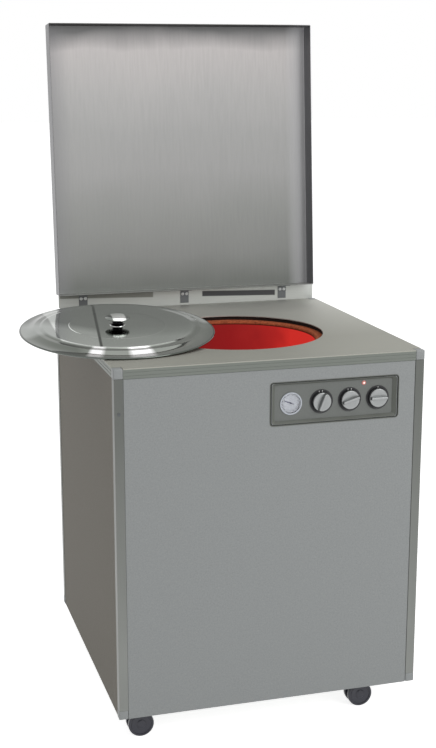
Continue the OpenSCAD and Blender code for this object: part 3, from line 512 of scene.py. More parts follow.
@dataclass(frozen=True)
class CoverMirror(Finish):
    """Stainless sheet spun and buffed to a mirror, with faint rings from the spinning tool.

    A real cover mirrors a dim kitchen with two bright windows. The studio shows white instead, so
    that kitchen is painted into the sheet's tone as painted reflection: dark at the back and on the
    left, with painted highlights where the windows show, one dark upright line that is the painted
    reflection of the lid's edge, and a painted dark ring on the bead. The rings are some 3 mm apart,
    which is coarser than the real ones, so that they show.
    """

    centre: Point
    radius: float
    # Painted reflection: the tones below are what the cover mirrors, painted into its colour, with a dark
    # painted reflection of the lid's edge, a painted dark ring on the bead, and painted highlights on the
    # rear slope and where the windows show.
    main: Stops = ((0.25, "#C9CEC9"), (0.33, "#B3B8B3"), (0.45, "#A5A9A5"), (1.0, "#A0A4A0"))
    middle: tuple[str, str] = ("#E6EAE6", "#A4A8A4")
    left: tuple[str, str] = ("#939793", "#5E625D")
    slope: str = "#969A94"
    slope_left: str = "#6C706A"
    bead: str = "#5E625E"
    lid_edge_reflection_tone: str = "#4C504C"
    rear_tone: str = "#FAFCFC"
    windows: Sequence[tuple[float, float]] = ((-0.57, -0.385), (-0.07, 0.19))
    lid_edge_reflection: float = -0.214
    shear: float = 0.14
    roughness: float = 0.07

    def inputs(self, nodes: Nodes) -> dict:
        """Adds the rings as a bump and smears as a change in gloss.

        Args:
            nodes: Nodes to add to.

        Returns:
            The shader's inputs.
        """
        rings = nodes.add("TexWave", {
            "Vector": nodes.place((1.0, 1.0, 0.0), self.centre), "Scale": 50.0, "Distortion": 1.5,
            "Detail": 2.0}, "Fac", wave_type="RINGS", rings_direction="SPHERICAL")
        smear = nodes.add("TexNoise", {"Vector": nodes.place(1 / (45 * MM)), "Scale": 1.0, "Detail": 3.0})
        return {"Base Color": self.tone(nodes), "Metallic": 1.0,
                "Roughness": nodes.spread(smear, self.roughness - 0.03, self.roughness + 0.06),
                "Normal": nodes.add("Bump", {"Height": rings, "Strength": 0.05, "Distance": 0.05 * MM})}

    def tone(self, nodes: Nodes) -> Socket:
        """Works the tone out from each point's place, in shares of the cover's radius.

        All of it is painted reflection. It goes from left to right first, then over the front slope and
        its painted window highlights, the painted highlight on the rear slope, and last the painted dark
        ring on the bead.

        Args:
            nodes: Nodes to add to.

        Returns:
            The colour.
        """
        flat = nodes.place((1 / self.radius, 1 / self.radius, 0.0), self.centre)
        x = nodes.add("SeparateXYZ", {0: flat})
        y = x.node.outputs["Y"]
        from_middle = nodes.add("VectorMath", {0: flat}, "Value", operation="LENGTH")
        across = nodes.add("Math", {0: y, 1: -self.shear, 2: x}, operation="MULTIPLY_ADD")
        diagonal = nodes.add("Math", {0: x, 1: 0.8, 2: y}, operation="MULTIPLY_ADD")
        shaded = nodes.spread(diagonal, 0.0, 1.0, -0.49, -0.25)
        middle, left = (nodes.layered(near, (shaded, far)) for near, far in (self.middle, self.left))
        outer = nodes.spread(from_middle, 0.0, 1.0, 0.765, 0.79)
        front = nodes.add("Math", {0: outer, 1: nodes.spread(y, 1.0, 0.0, -0.20, -0.10)},
                          operation="MULTIPLY")
        slope = nodes.layered(self.slope, (nodes.spread(x, 1.0, 0.0, -0.55, -0.35), self.slope_left))
        rear = nodes.add("Math", {0: outer, 1: nodes.spread(x, 0.0, 1.0, 0.50, 0.66)}, operation="MULTIPLY")
        forward = nodes.add("Math", {0: y, 1: -1.0}, operation="MULTIPLY")
        side = nodes.add("Math", {0: x, 1: forward}, operation="DIVIDE")
        lit = [(front, nodes.between(side, start, end, 0.03), "#FFFFFF") for start, end in self.windows]
        lit.append((rear, nodes.between(y, 0.05, 0.55, 0.05), self.rear_tone))
        windows = [(nodes.add("Math", {0: part, 1: stretch}, operation="MULTIPLY"), tone)
                   for part, stretch, tone in lit]
        # Painted reflection, layer on layer, ending in painted highlights and the bead's painted dark ring.
        return nodes.layered(
            nodes.add("ValToRGB", {0: nodes.spread(y, 0.0, 1.0, -1.0, 1.0)}, stops=self.main),
            (nodes.spread(across, 1.0, 0.0, self.lid_edge_reflection - 0.01, self.lid_edge_reflection + 0.01), middle),
            (nodes.between(across, self.lid_edge_reflection - 0.012, self.lid_edge_reflection + 0.016, 0.006), self.lid_edge_reflection_tone),
            (nodes.spread(x, 1.0, 0.0, -0.665, -0.645), left), (front, slope), *windows,
            (nodes.spread(from_middle, 0.0, 1.0, 0.980, 0.986), self.bead))


@dataclass(frozen=True)
class KnobMirror(Finish):
    """The cover's knob, turned from stainless bar and buffed to a mirror.

    A real one mirrors the lamp overhead in the middle of its head, and the dark room round its
    waist. These are painted into its tone, as painted highlights on its head and its foot and a
    painted dark reflection round its waist, as the studio is white all round.
    """

    centre: Point
    radius: float
    height: float
    # Painted highlights on the head and the foot, and painted reflections on the rest of the head and round
    # the waist.
    lit: str = "#F6F8F6"
    head: str = "#7E827E"
    waist: str = "#121214"
    foot: str = "#D8DAD8"

    def inputs(self, nodes: Nodes) -> dict:
        """Works the tone out from the distance to the knob's middle plane and the height on it.

        Args:
            nodes: Nodes to add to.

        Returns:
            The shader's inputs.
        """
        across = nodes.add("SeparateXYZ", {
            0: nodes.place((1 / self.radius, 1 / self.radius, 1 / self.height), self.centre)})
        up = across.node.outputs["Z"]
        top = nodes.add("ValToRGB", {0: nodes.add("Math", {0: across}, operation="ABSOLUTE")},
                        stops=((0.50, self.lit), (0.58, self.head)))
        smear = nodes.add("TexNoise", {"Vector": nodes.place(1 / (15 * MM)), "Scale": 1.0, "Detail": 2.0})
        return {"Base Color": nodes.layered(self.waist, (nodes.spread(up, 0.0, 1.0, 0.55, 0.59), top),
                                            (nodes.spread(up, 1.0, 0.0, 0.06, 0.08), self.foot)),
                "Metallic": 1.0, "Roughness": nodes.spread(smear, 0.06, 0.14)}


@dataclass(frozen=True)
class GlowingClay(Finish):
    """Fired clay with straw pits: ochre on its rim, with a painted red glow inside that is brighter to the
    right.
    """

    clay: str
    dark: str
    charred: str
    # Painted glow tones, from the left of the pot to its right.
    hot: Stops
    centre: Point
    mouth_radius: float
    lip: float = 7.5
    strength: float = 0.8

    def inputs(self, nodes: Nodes) -> dict:
        """Works out the clay's tone and its painted glow, which starts a little below the rim's inner edge
        and is painted brighter to the right.

        Args:
            nodes: Nodes to add to.

        Returns:
            The shader's inputs.
        """
        grain = nodes.add("TexNoise", {
            "Vector": nodes.place(1 / (7 * MM)), "Scale": 1.0, "Detail": 5.0, "Roughness": 0.7})
        cloud = nodes.add("TexNoise", {"Vector": nodes.place(1 / (70 * MM)), "Scale": 1.0, "Detail": 2.0})
        x = nodes.add("SeparateXYZ", {
            0: nodes.place((1 / self.mouth_radius, 1 / self.mouth_radius, 1 / MM), self.centre)})
        y, z = x.node.outputs["Y"], x.node.outputs["Z"]
        radius = nodes.add("VectorMath", {0: nodes.add("CombineXYZ", {"X": x, "Y": y})}, "Value",
                           operation="LENGTH")
        below = nodes.spread(z, 1.0, 0.0, -self.lip - 1.5, -self.lip)
        glow = nodes.add("Math", {0: below, 1: nodes.spread(radius, 1.0, 0.0, 1.125, 1.13)},
                         operation="MULTIPLY")
        wobble = nodes.add("Math", {0: cloud, 1: 0.5, 2: -0.25}, operation="MULTIPLY_ADD")
        across = nodes.add("Math", {0: x, 1: wobble}, operation="ADD")
        rim = nodes.add("ValToRGB", {0: grain}, stops=((0.3, self.dark), (0.6, self.clay)))
        # Painted glow: emission on the clay below the rim, dark red on the left and bright red on the right.
        return {"Base Color": nodes.layered(rim, (
                    nodes.spread(z, 1.0, 0.0, -self.lip, -self.lip + 2.5), self.charred)),
                "Roughness": 0.9, "Specular IOR Level": 0.2,
                "Emission Color": nodes.add("ValToRGB", {0: nodes.spread(across, 0.0, 1.0, -1.0, 1.0)},
                                            stops=self.hot),
                "Emission Strength": nodes.add("Math", {0: glow, 1: self.strength}, operation="MULTIPLY"),
                "Normal": nodes.add("Bump", {"Height": grain, "Strength": 0.6, "Distance": 1.0 * MM})}


@dataclass(frozen=True)
class ClearGlass(Finish):
    """A thin pane of polished glass, with smears that only touch its gloss."""

    colour: str = "#FFFFFF"

    def inputs(self, nodes: Nodes) -> dict:
        """Adds the smears to clear glass."""
        smear = nodes.add("TexNoise", {"Vector": nodes.place(1 / (12 * MM)), "Scale": 1.0, "Detail": 2.0})
        return {"Base Color": self.colour, "Transmission Weight": 1.0, "IOR": 1.45,
                "Roughness": nodes.spread(smear, 0.01, 0.05)}


@dataclass(frozen=True)
class LitLens(Finish):
    """A small red acrylic lens with its lamp alight: a white heart and a red surround."""

    heart: str
    glow: str
    surround: str
    centre: Point
    radius: float

    def inputs(self, nodes: Nodes) -> dict:
        """Works the light out from the distance to the lens's middle.

        Args:
            nodes: Nodes to add to.

        Returns:
            The shader's inputs.
        """
        place = nodes.place((1 / self.radius, 0.0, 1 / self.radius), self.centre)
        light = nodes.add("ValToRGB", {0: nodes.add("VectorMath", {0: place}, "Value", operation="LENGTH")},
                          stops=((0.22, self.heart), (0.50, self.glow), (0.85, self.surround)))
        return {"Base Color": light, "Roughness": 0.25, "Emission Color": light, "Emission Strength": 0.6}


# ---- modelling ----


def deselect() -> None:
    """Leaves edit mode and deselects every object."""
    if bpy.context.object and bpy.context.object.mode != "OBJECT":
        bpy.ops.object.mode_set(mode="OBJECT")
    bpy.ops.object.select_all(action="DESELECT")


def make_active(piece: Piece) -> None:
    """Selects one object alone and makes it active."""
    deselect()
    piece.select_set(True)
    bpy.context.view_layer.objects.active = piece


def pick(piece: Piece, kind: Part, wanted: Callable[[Vector, Vector], bool]) -> None:
    """Selects parts of a piece's mesh in edit mode by their place.

    Args:
        piece: Object in edit mode.
        kind: Which parts to look at.
        wanted: Takes a part's middle and its normal, or an edge's direction, and says yes or no.
    """
    bpy.ops.mesh.select_mode(type=kind.value)
    bpy.ops.mesh.select_all(action="DESELECT")
    mesh = bmesh.from_edit_mesh(piece.data)
    for part in getattr(mesh, kind.name.lower()):
        if kind is Part.VERTS:
            middle, way = part.co, part.normal
        elif kind is Part.EDGES:
            first, second = (vertex.co for vertex in part.verts)
            middle, way = (first + second) / 2, (second - first).normalized()
        else:
            middle, way = part.calc_center_median(), part.normal
        if wanted(middle, way):
            part.select_set(True)
    mesh.select_flush_mode()
    bmesh.update_edit_mesh(piece.data)


def add_block(low: Point, high: Point) -> Piece:
    """Adds a cube primitive between two corners and opens it in edit mode.

    Args:
        low: Lowest corner in metres.
        high: Highest corner in metres.

    Returns:
        The new object, active and in edit mode.
    """
    deselect()
    bpy.ops.mesh.primitive_cube_add(size=1, location=[(a + b) / 2 for a, b in zip(low, high)])
    piece = bpy.context.object
    piece.scale = [b - a for a, b in zip(low, high)]
    bpy.ops.object.transform_apply(location=True, rotation=True, scale=True)
    bpy.ops.object.mode_set(mode="EDIT")
    return piece


def push(step: Point) -> None:
    """Extrudes what is picked by a step."""
    bpy.ops.mesh.extrude_region_move(TRANSFORM_OT_translate={"value": step})


def add_modifier(piece: Piece, kind: str, **settings) -> None:
    """Adds a modifier with its settings and applies it."""
    make_active(piece)
    modifier = piece.modifiers.new(kind.title(), kind)
    for name, value in settings.items():
        setattr(modifier, name, value)
    bpy.ops.object.modifier_apply(modifier=modifier.name)


def round_edges(piece: Piece, width: float, segments: int = 1) -> None:
    """Bevels every sharp edge of a piece."""
    add_modifier(piece, "BEVEL", width=width, segments=segments, limit_method="ANGLE",
                 angle_limit=SHARP_ANGLE)


def moved(place: Sequence[float], tip: float = 0.0, turn: float = 0.0) -> Matrix:
    """Gives a tip about X, then a turn about Y, both in radians, and then a move to a place."""
    return Matrix.Translation(place) @ Matrix.Rotation(turn, 4, "Y") @ Matrix.Rotation(tip, 4, "X")


def place_mesh(piece: Piece, where: Matrix) -> None:
    """Moves a piece's mesh and leaves its object at the origin."""
    piece.data.transform(where)
    piece.data.update()


def lathe(profile: Profile, steps: int = 96, closed: bool = False) -> Piece:
    """Spins a profile about the Z axis.

    Args:
        profile: Radius and height of each point, in metres.
        steps: Number of flats round the axis.
        closed: Whether the last point joins the first, as on a ring or a sheet with a wall.

    Returns:
        The spun object.
    """
    deselect()
    bpy.ops.mesh.primitive_plane_add(size=MM, location=(0, 0, 0))
    piece = bpy.context.object
    bpy.ops.object.mode_set(mode="EDIT")
    bpy.ops.mesh.select_mode(type="VERT")
    bpy.ops.mesh.select_all(action="SELECT")
    bpy.ops.mesh.merge(type="CENTER")
    radius, height = profile[0]
    bpy.ops.transform.translate(value=(radius, 0, height))
    for (r0, z0), (r1, z1) in zip(profile, profile[1:]):
        push((r1 - r0, 0, z1 - z0))
    if closed:
        ends = [Vector((r, 0, z)) for r, z in (profile[0], profile[-1])]
        pick(piece, Part.VERTS, lambda co, _: any((co - end).length < CLOSE for end in ends))
        bpy.ops.mesh.edge_face_add()
    bpy.ops.mesh.select_all(action="SELECT")
    bpy.ops.mesh.spin(steps=steps, angle=2 * math.pi, center=(0, 0, 0), axis=(0, 0, 1))
    bpy.ops.mesh.select_all(action="SELECT")
    bpy.ops.mesh.remove_doubles(threshold=CLOSE)
    bpy.ops.mesh.normals_make_consistent(inside=False)
    deselect()
    return piece


def arc(centre: tuple[float, float], radius: float, start: float, end: float,
        count: int) -> list[tuple[float, float]]:
    """Gives points along an arc of a profile, with its angles in degrees."""
    angles = [math.radians(start + (end - start) * i / (count - 1)) for i in range(count)]
    return [(centre[0] + radius * math.cos(a), centre[1] + radius * math.sin(a)) for a in angles]


def join(pieces: Sequence[Piece]) -> Piece:
    """Joins objects into the first of them."""
    make_active(pieces[0])
    for piece in pieces:
        piece.select_set(True)
    bpy.ops.object.join()
    return pieces[0]


def finish_piece(piece: Piece, name: str, body: str, material: Material,
                 slot: str, *replaced: str) -> None:
    """Names a piece, smooths it, gives it its finish and sets it on its body.

    Args:
        piece: Finished mesh object at the origin.
        name: Name of the piece.
        body: Body of the construction that it rides on.
        material: Its finish.
        slot: The record's material slot that the finish stands for; not used.
        *replaced: Construction nodes that it stands for.
    """
    make_active(piece)
    piece.name = name
    piece.data.name = name
    bpy.ops.object.shade_smooth_by_angle(angle=SMOOTH_ANGLE)
    piece.data.materials.clear()
    piece.data.materials.append(material)
    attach(piece, body)
    if replaced:
        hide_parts(*replaced)
    LOG.info("%s: %d faces on %s", name, len(piece.data.polygons), body)


def span(node: str) -> tuple[Vector, Vector]:
    """Gives a construction node's lowest and highest corners."""
    low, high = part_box(node)
    return Vector(low), Vector(high)


# ---- the studio ----


@dataclass
class Studio:
    """Floor, lamps and the camera at the photograph's place.

    Each lamp has its name, its place, the side of its square and its power.
    """

    eye: Point = (-0.9061, -3.0189, 1.4710)
    yaw: float = 0.2847
    pitch: float = 0.2278
    focal_pixels: float = 1350.6
    sensor: float = 36.0
    reach: float = 100.0
    floor_half: float = 30.0
    floor_lift: float = 0.80
    sky: float = 0.50
    aim: Point = (0, 0, 0.6)
    lamps: Sequence[tuple[str, Point, float, float]] = (
        ("key_lamp", (2.2, -3.6, 3.0), 2.6, 84.0), ("fill_lamp", (-3.4, -2.2, 2.4), 2.2, 4.0),
        ("top_lamp", (0.2, -0.4, 3.6), 2.4, 16.0))

    def build(self) -> None:
        """Builds the studio round the object."""
        self.add_camera()
        self.add_floor()
        self.add_world()
        for lamp in self.lamps:
            self.add_lamp(*lamp)
        bpy.context.scene.view_settings.view_transform = "Standard"

    def add_camera(self) -> None:
        """Adds the camera, whose lens follows from the photograph's frame."""
        data = bpy.data.cameras.new("photo_camera")
        data.sensor_width = self.sensor
        data.lens = self.focal_pixels * self.sensor / max(PHOTO_WIDTH, PHOTO_HEIGHT)
        data.clip_end = self.reach
        camera = bpy.data.objects.new("photo_camera", data)
        bpy.context.scene.collection.objects.link(camera)
        camera.location = self.eye
        camera.rotation_euler = (QUARTER - self.pitch, 0.0, -self.yaw)
        bpy.context.scene.camera = camera

    def add_floor(self) -> None:
        """Adds a wide pale floor that takes the shadow."""
        deselect()
        bpy.ops.mesh.primitive_plane_add(size=2 * self.floor_half, location=(0, 0, 0))
        floor = bpy.context.object
        floor.name = "studio_floor"
        material, nodes = start_material("pale_floor")
        cloud = nodes.add("TexNoise", {"Vector": nodes.place(2.0), "Scale": 1.0})
        paint = nodes.add("BsdfDiffuse", {"Color": nodes.tinted(cloud, "#E9E9E9", 0.005)})
        lift = nodes.add("Math", {0: nodes.seen(), 1: self.floor_lift}, operation="MULTIPLY")
        glow = nodes.add("Emission", {"Strength": lift})
        nodes.add("OutputMaterial", {"Surface": nodes.add("AddShader", {0: paint, 1: glow})})
        floor.data.materials.append(material)

    def add_world(self) -> None:
        """Lights the object evenly, and shows white to the camera and to what mirrors it."""
        world = bpy.data.worlds.new("pale_world")
        bpy.context.scene.world = world
        world.use_nodes = True
        world.node_tree.nodes.clear()
        nodes = Nodes(world.node_tree)
        strength = nodes.spread(nodes.seen(), self.sky, 1.0, 0.0, 1.0)
        nodes.add("OutputWorld", {
            "Surface": nodes.add("Background", {"Color": "#FFFFFF", "Strength": strength})})

    def add_lamp(self, name: str, place: Point, size: float, power: float) -> None:
        """Adds a square soft lamp that faces the middle of the cabinet."""
        data = bpy.data.lights.new(name, "AREA")
        data.size = size
        data.energy = power
        lamp = bpy.data.objects.new(name, data)
        bpy.context.scene.collection.objects.link(lamp)
        lamp.location = place
        lamp.rotation_euler = (Vector(self.aim) - Vector(place)).to_track_quat("-Z", "Y").to_euler()


# ---- sub-assemblies ----


@dataclass
class Finishes:
    """Finishes that construction nodes keep, one material for each."""

    nodes: dict

    def dress(self, finish: Finish, *names: str) -> None:
        """Gives a finish to construction nodes."""
        material = finish.build()
        for name in names:
            mesh = self.nodes[name].data
            mesh.materials.clear()
            mesh.materials.append(material)

    def build(self) -> None:
        """Dresses every construction node that stays."""
        # Painted light: the posts are painted lighter towards their foot.
        self.dress(BrushedStainless("posts_brushed_stainless", "#5E605D", Axis.Z, 0.40,
                                    painted_light_fade=(Axis.Z, 760 * MM, 200 * MM, "#767875")), "corner_posts")
        self.dress(BrushedStainless("rails_brushed_stainless", "#6C706B", Axis.X, 0.45),
                   "top_rails", "bottom_rails")
        self.dress(HammeredPaint("panel_hammered_paint", "#919494"),
                   "front_panel", "rear_panel", "right_panel")
        # Painted shade: the left panel gets a darker, warmer copy of the panel paint, while the right panel
        # keeps the grey.
        self.dress(HammeredPaint("side_hammered_paint", "#5B564B", 0.08, roughness=0.6), "left_panel")
        # Painted light: the worktop is painted lighter towards its rear, against the darker lid that it
        # mirrors there.
        self.dress(BrushedStainless("worktop_satin_stainless", "#999991", Axis.X, 0.62, swing=0.05,
                                    painted_light_fade=(Axis.Y, -150 * MM, 300 * MM, "#B9B9B3")), "worktop")
        self.dress(MirroringUpstand("upstand_bright_stainless", "#B2B4B1", "#7C7D78", "#4A4A4C",
                                    span("rear_upstand")[1].z), "rear_upstand")
        self.dress(BrushedStainless("galvanised_sheet", "#8A8C89", Axis.Y, 0.5), "base_plate", "heater_drum")
        self.dress(BrushedStainless("zinc_plated_steel", "#8D9092", Axis.X, 0.45), "castor_plates",
                   "thermostat_shaft", "lower_heat_shaft", "upper_heat_shaft", "hinge_pins", "cover_screw")
        self.dress(BrushedStainless("hinge_stainless", "#66686A", Axis.Z, 0.45),
                   "hinge_fixed_leaves", "lid_hinge_leaves")
        self.dress(BrushedStainless("turned_stainless", "#9FA2A0", Axis.Z, 0.3), "cover_rest")
        self.dress(SatinPaint("blackened_screw", "#55585A", 0.5, 0.6), "panel_screws")
        self.dress(SatinPaint("primed_steel", "#5D6062", 0.6), "pot_cradle")
        self.dress(GrainyMineral("pressed_fibre", "#1E1512"), "mouth_gasket")
        self.dress(GrainyMineral("ceramic_fibre", "#D8D2C0", size=4 * MM), "insulation")
        self.dress(GrainyMineral("steatite_ceramic", "#E2DCCB", 0.6, swing=0.08, size=1 * MM),
                   "element_holders")
        self.dress(GrainyMineral("oxidised_sheath", "#6A4A42", 0.6, swing=0.25), "heating_elements")
        self.dress(MouldedPlastic("device_bakelite", "#D6D3C8"),
                   "thermostat", "selector_switches", "terminal_block")
        self.dress(SatinPaint("drawn_copper", "#B87D4B", 0.3, 1.0), "capillary_tubes")
        self.dress(MouldedPlastic("silicone_sleeve", "#7A3F3A", 0.6), "wiring_loom")
        self.dress(MouldedPlastic("gland_nylon", "#232426", 0.5), "cable_gland")
        self.dress(MouldedPlastic("castor_nylon", "#26282C", 0.4), *(f"{end}_fork" for end in CASTORS))
        self.dress(MouldedPlastic("lamp_holder_nylon", "#3A3C3E"), "pilot_lamp_body")
        self.dress(SatinPaint("fascia_enamel", "#686B68", 0.5, 0.2), "control_fascia")
        self.dress(SatinPaint("gauge_rim_steel", "#9DA1A7", 0.35, 0.8), "gauge_case")
        self.dress(ClearGlass("gauge_float_glass"), "gauge_glass")


@dataclass
class Lid:
    """The tray lid, folded from one sheet with a skirt on each side, and hung at its rear skirt."""

    axis: Vector
    left: float
    right: float
    length: float = 669 * MM
    rear: float = -2.5 * MM
    rise: float = 12 * MM
    low: float = -38.5 * MM
    sheet: float = 1.5 * MM
    fold_radius: float = 2.5 * MM
    edge: float = 0.35 * MM
    near: float = 1e-5
    lean: float = math.radians(4.5)

    def build(self) -> None:
        """Builds the closed tray about its axis and tips it open."""
        piece = add_block((self.left, self.rear - self.length, self.low), (self.right, self.rear, self.rise))
        pick(piece, Part.FACES, lambda co, way: way.z < -SQUARE)
        bpy.ops.mesh.delete(type="FACE")
        pick(piece, Part.EDGES, lambda co, way: co.z > self.rise - self.near or abs(way.z) > SQUARE)
        bpy.ops.mesh.bevel(offset=self.fold_radius, segments=4, affect="EDGES")
        bpy.ops.mesh.select_all(action="SELECT")
        bpy.ops.mesh.normals_make_consistent(inside=False)
        add_modifier(piece, "SOLIDIFY", thickness=self.sheet, offset=-1.0, use_even_offset=True)
        round_edges(piece, self.edge)
        place_mesh(piece, moved(self.axis, -QUARTER - self.lean))
        low, high = span("lid_tray")
        steel = LidStainless("lid_brushed_stainless", tuple(low), tuple(high)).build()
        finish_piece(piece, "lid_folded_tray", Body.LID.value, steel, "lid_steel", "lid_tray")


@dataclass
class Cover:
    """The round cover, spun from thin sheet, with its flared knob.

    The pan's upper line is given in shares of its radius and in millimetres above its top, or above
    the step round it. The knob's line is given in shares of its radius and height.
    """

    centre: Vector = field(default_factory=lambda: Vector((-276 * MM, -48.5 * MM, 870.37 * MM)))
    radius: float = 222.6 * MM
    tilt: float = math.radians(5.2)
    sheet: float = 1.0 * MM
    rise: float = 14 * MM
    step: float = 3.2 * MM
    bead: float = 2 * MM
    pan_bore: float = 3.3 * MM
    knob_bore: float = 3.1 * MM
    knob_radius: float = 28 * MM
    knob_height: float = 24.5 * MM
    top_line: Profile = (
        (0.30, 0), (0.476, 0), (0.480, 0.02), (0.486, 0.45), (0.490, 0.55), (0.494, 0.45), (0.500, 0.02),
        (0.504, 0), (0.62, 0), (0.755, 0), (0.765, -0.1), (0.775, -0.7))
    step_line: Profile = (
        (0.790, 0.7), (0.797, 0.15), (0.805, 0), (0.842, 0), (0.850, -0.2), (0.862, -1.3))
    knob_line: Profile = (
        (0.62, 0), (0.65, 0.02), (0.64, 0.05), (0.58, 0.09), (0.50, 0.15), (0.44, 0.23), (0.42, 0.32),
        (0.44, 0.40), (0.50, 0.47), (0.62, 0.53), (0.78, 0.58), (0.92, 0.62), (0.985, 0.66), (1, 0.70),
        (0.985, 0.74), (0.93, 0.80), (0.82, 0.87), (0.66, 0.93), (0.45, 0.975), (0.22, 0.995), (0, 1))

    def build(self) -> None:
        """Builds the pan and the knob, and lays them on the worktop."""
        placed = moved(self.centre, self.tilt)
        self.build_pan(placed)
        self.build_knob(placed)

    def build_pan(self, placed: Matrix) -> None:
        """Spins the pan from its upper line, its rolled bead and its lower line."""
        r, top = self.radius, self.rise
        step = top - self.step
        upper = [(self.pan_bore, top)] + [(r * share, top + up * MM) for share, up in self.top_line]
        upper += [(r * share, step + up * MM) for share, up in self.step_line]
        (share, up), drop, reach = self.step_line[-1], top - 8.8 * MM, 0.092
        upper += [(r * (share + reach * t), step + up * MM - drop * math.sin(t * QUARTER))
                  for t in (0.2, 0.4, 0.6, 0.8, 1.0)]
        bead = arc((r - self.bead, self.bead), self.bead, 110, -190, 13)
        lower = [(x, z - self.sheet) for x, z in reversed(upper)]
        piece = lathe(upper + bead + lower, 160, closed=True)
        place_mesh(piece, placed)
        steel = CoverMirror("cover_mirror_stainless", tuple(self.centre), self.radius).build()
        finish_piece(piece, "cover_spun_pan", Body.COVER.value, steel, "cover_steel", "cover_pan")

    def build_knob(self, placed: Matrix) -> None:
        """Spins the knob with its foot, its waist and its flared head."""
        line = [(self.knob_bore, 0.0)]
        line += [(self.knob_radius * share, self.knob_height * up) for share, up in self.knob_line]
        piece = lathe(line)
        place_mesh(piece, placed @ moved((0, 0, self.rise)))
        seat = placed @ Vector((0, 0, self.rise))
        steel = KnobMirror("knob_mirror_stainless", tuple(seat), self.knob_radius, self.knob_height).build()
        finish_piece(piece, "cover_flared_knob", Body.COVER.value, steel, "cover_knob", "cover_knob")


@dataclass
class Pot:
    """The clay pot, thrown with a thick round lip."""

    low: Vector
    high: Vector
    wall: float = 28 * MM
    mouth_radius: float = 187 * MM
    lip: float = 6 * MM
    foot_radius: float = 215 * MM
    tile_edge: float = 4 * MM
    steps: int = 24
    hand_mark: float = 45 * MM
    hand_depth: float = 1.2 * MM
    # Painted glow inside the pot, from dark red on the left to bright red on the right.
    heat: Stops = ((0.15, "#4E080E"), (0.45, "#8C161A"), (0.62, "#96181C"), (0.75, "#A01E20"),
                   (0.88, "#BC2624"), (0.97, "#DC302A"))

    def build(self) -> None:
        """Builds the pot and its floor tile, with hand marks in the clay."""
        centre = (self.low + self.high) / 2
        belly = (self.high.x - self.low.x) / 2
        rim = self.mouth_radius + self.wall
        swell = 2 * belly - (self.foot_radius + rim) / 2
        base, top = self.low.z, self.high.z
        outside = [(self.foot_radius * (1 - t) ** 2 + 2 * swell * t * (1 - t) + rim * t * t,
                    base + t * (top - self.lip - base))
                   for t in (i / self.steps for i in range(self.steps + 1))]
        inside = [(r - self.wall, z) for r, z in reversed(outside)]
        line = (outside + arc((rim - self.lip, top - self.lip), self.lip, 15, 90, 5)
                + arc((self.mouth_radius + self.lip, top - self.lip), self.lip, 90, 165, 5) + inside)
        piece = lathe(line, 144, closed=True)
        texture = bpy.data.textures.new("hand_marks", "CLOUDS")
        texture.noise_scale = self.hand_mark
        add_modifier(piece, "DISPLACE", texture=texture, strength=self.hand_depth, mid_level=0.5,
                     texture_coords="LOCAL")
        place_mesh(piece, moved((centre.x, centre.y, 0)))
        clay = GlowingClay("glowing_fired_clay", "#AE5C3A", "#6A3420", "#2E1209", self.heat,
                           (centre.x, centre.y, top), self.mouth_radius).build()
        finish_piece(piece, "clay_thrown_pot", Body.CABINET.value, clay, "clay", "clay_pot")
        self.build_tile(clay)

    def build_tile(self, clay: Material) -> None:
        """Spins the floor tile with a worn edge."""
        low, high = span("pot_floor_tile")
        centre = (low + high) / 2
        radius = (high.x - low.x) / 2
        worn = arc((radius - self.tile_edge, high.z - self.tile_edge), self.tile_edge, 0, 90, 5)
        piece = lathe([(0.0, low.z), (radius, low.z), *worn, (0.0, high.z)])
        place_mesh(piece, moved((centre.x, centre.y, 0)))
        finish_piece(piece, "pot_clay_floor", Body.CABINET.value, clay, "floor_tile", "pot_floor_tile")


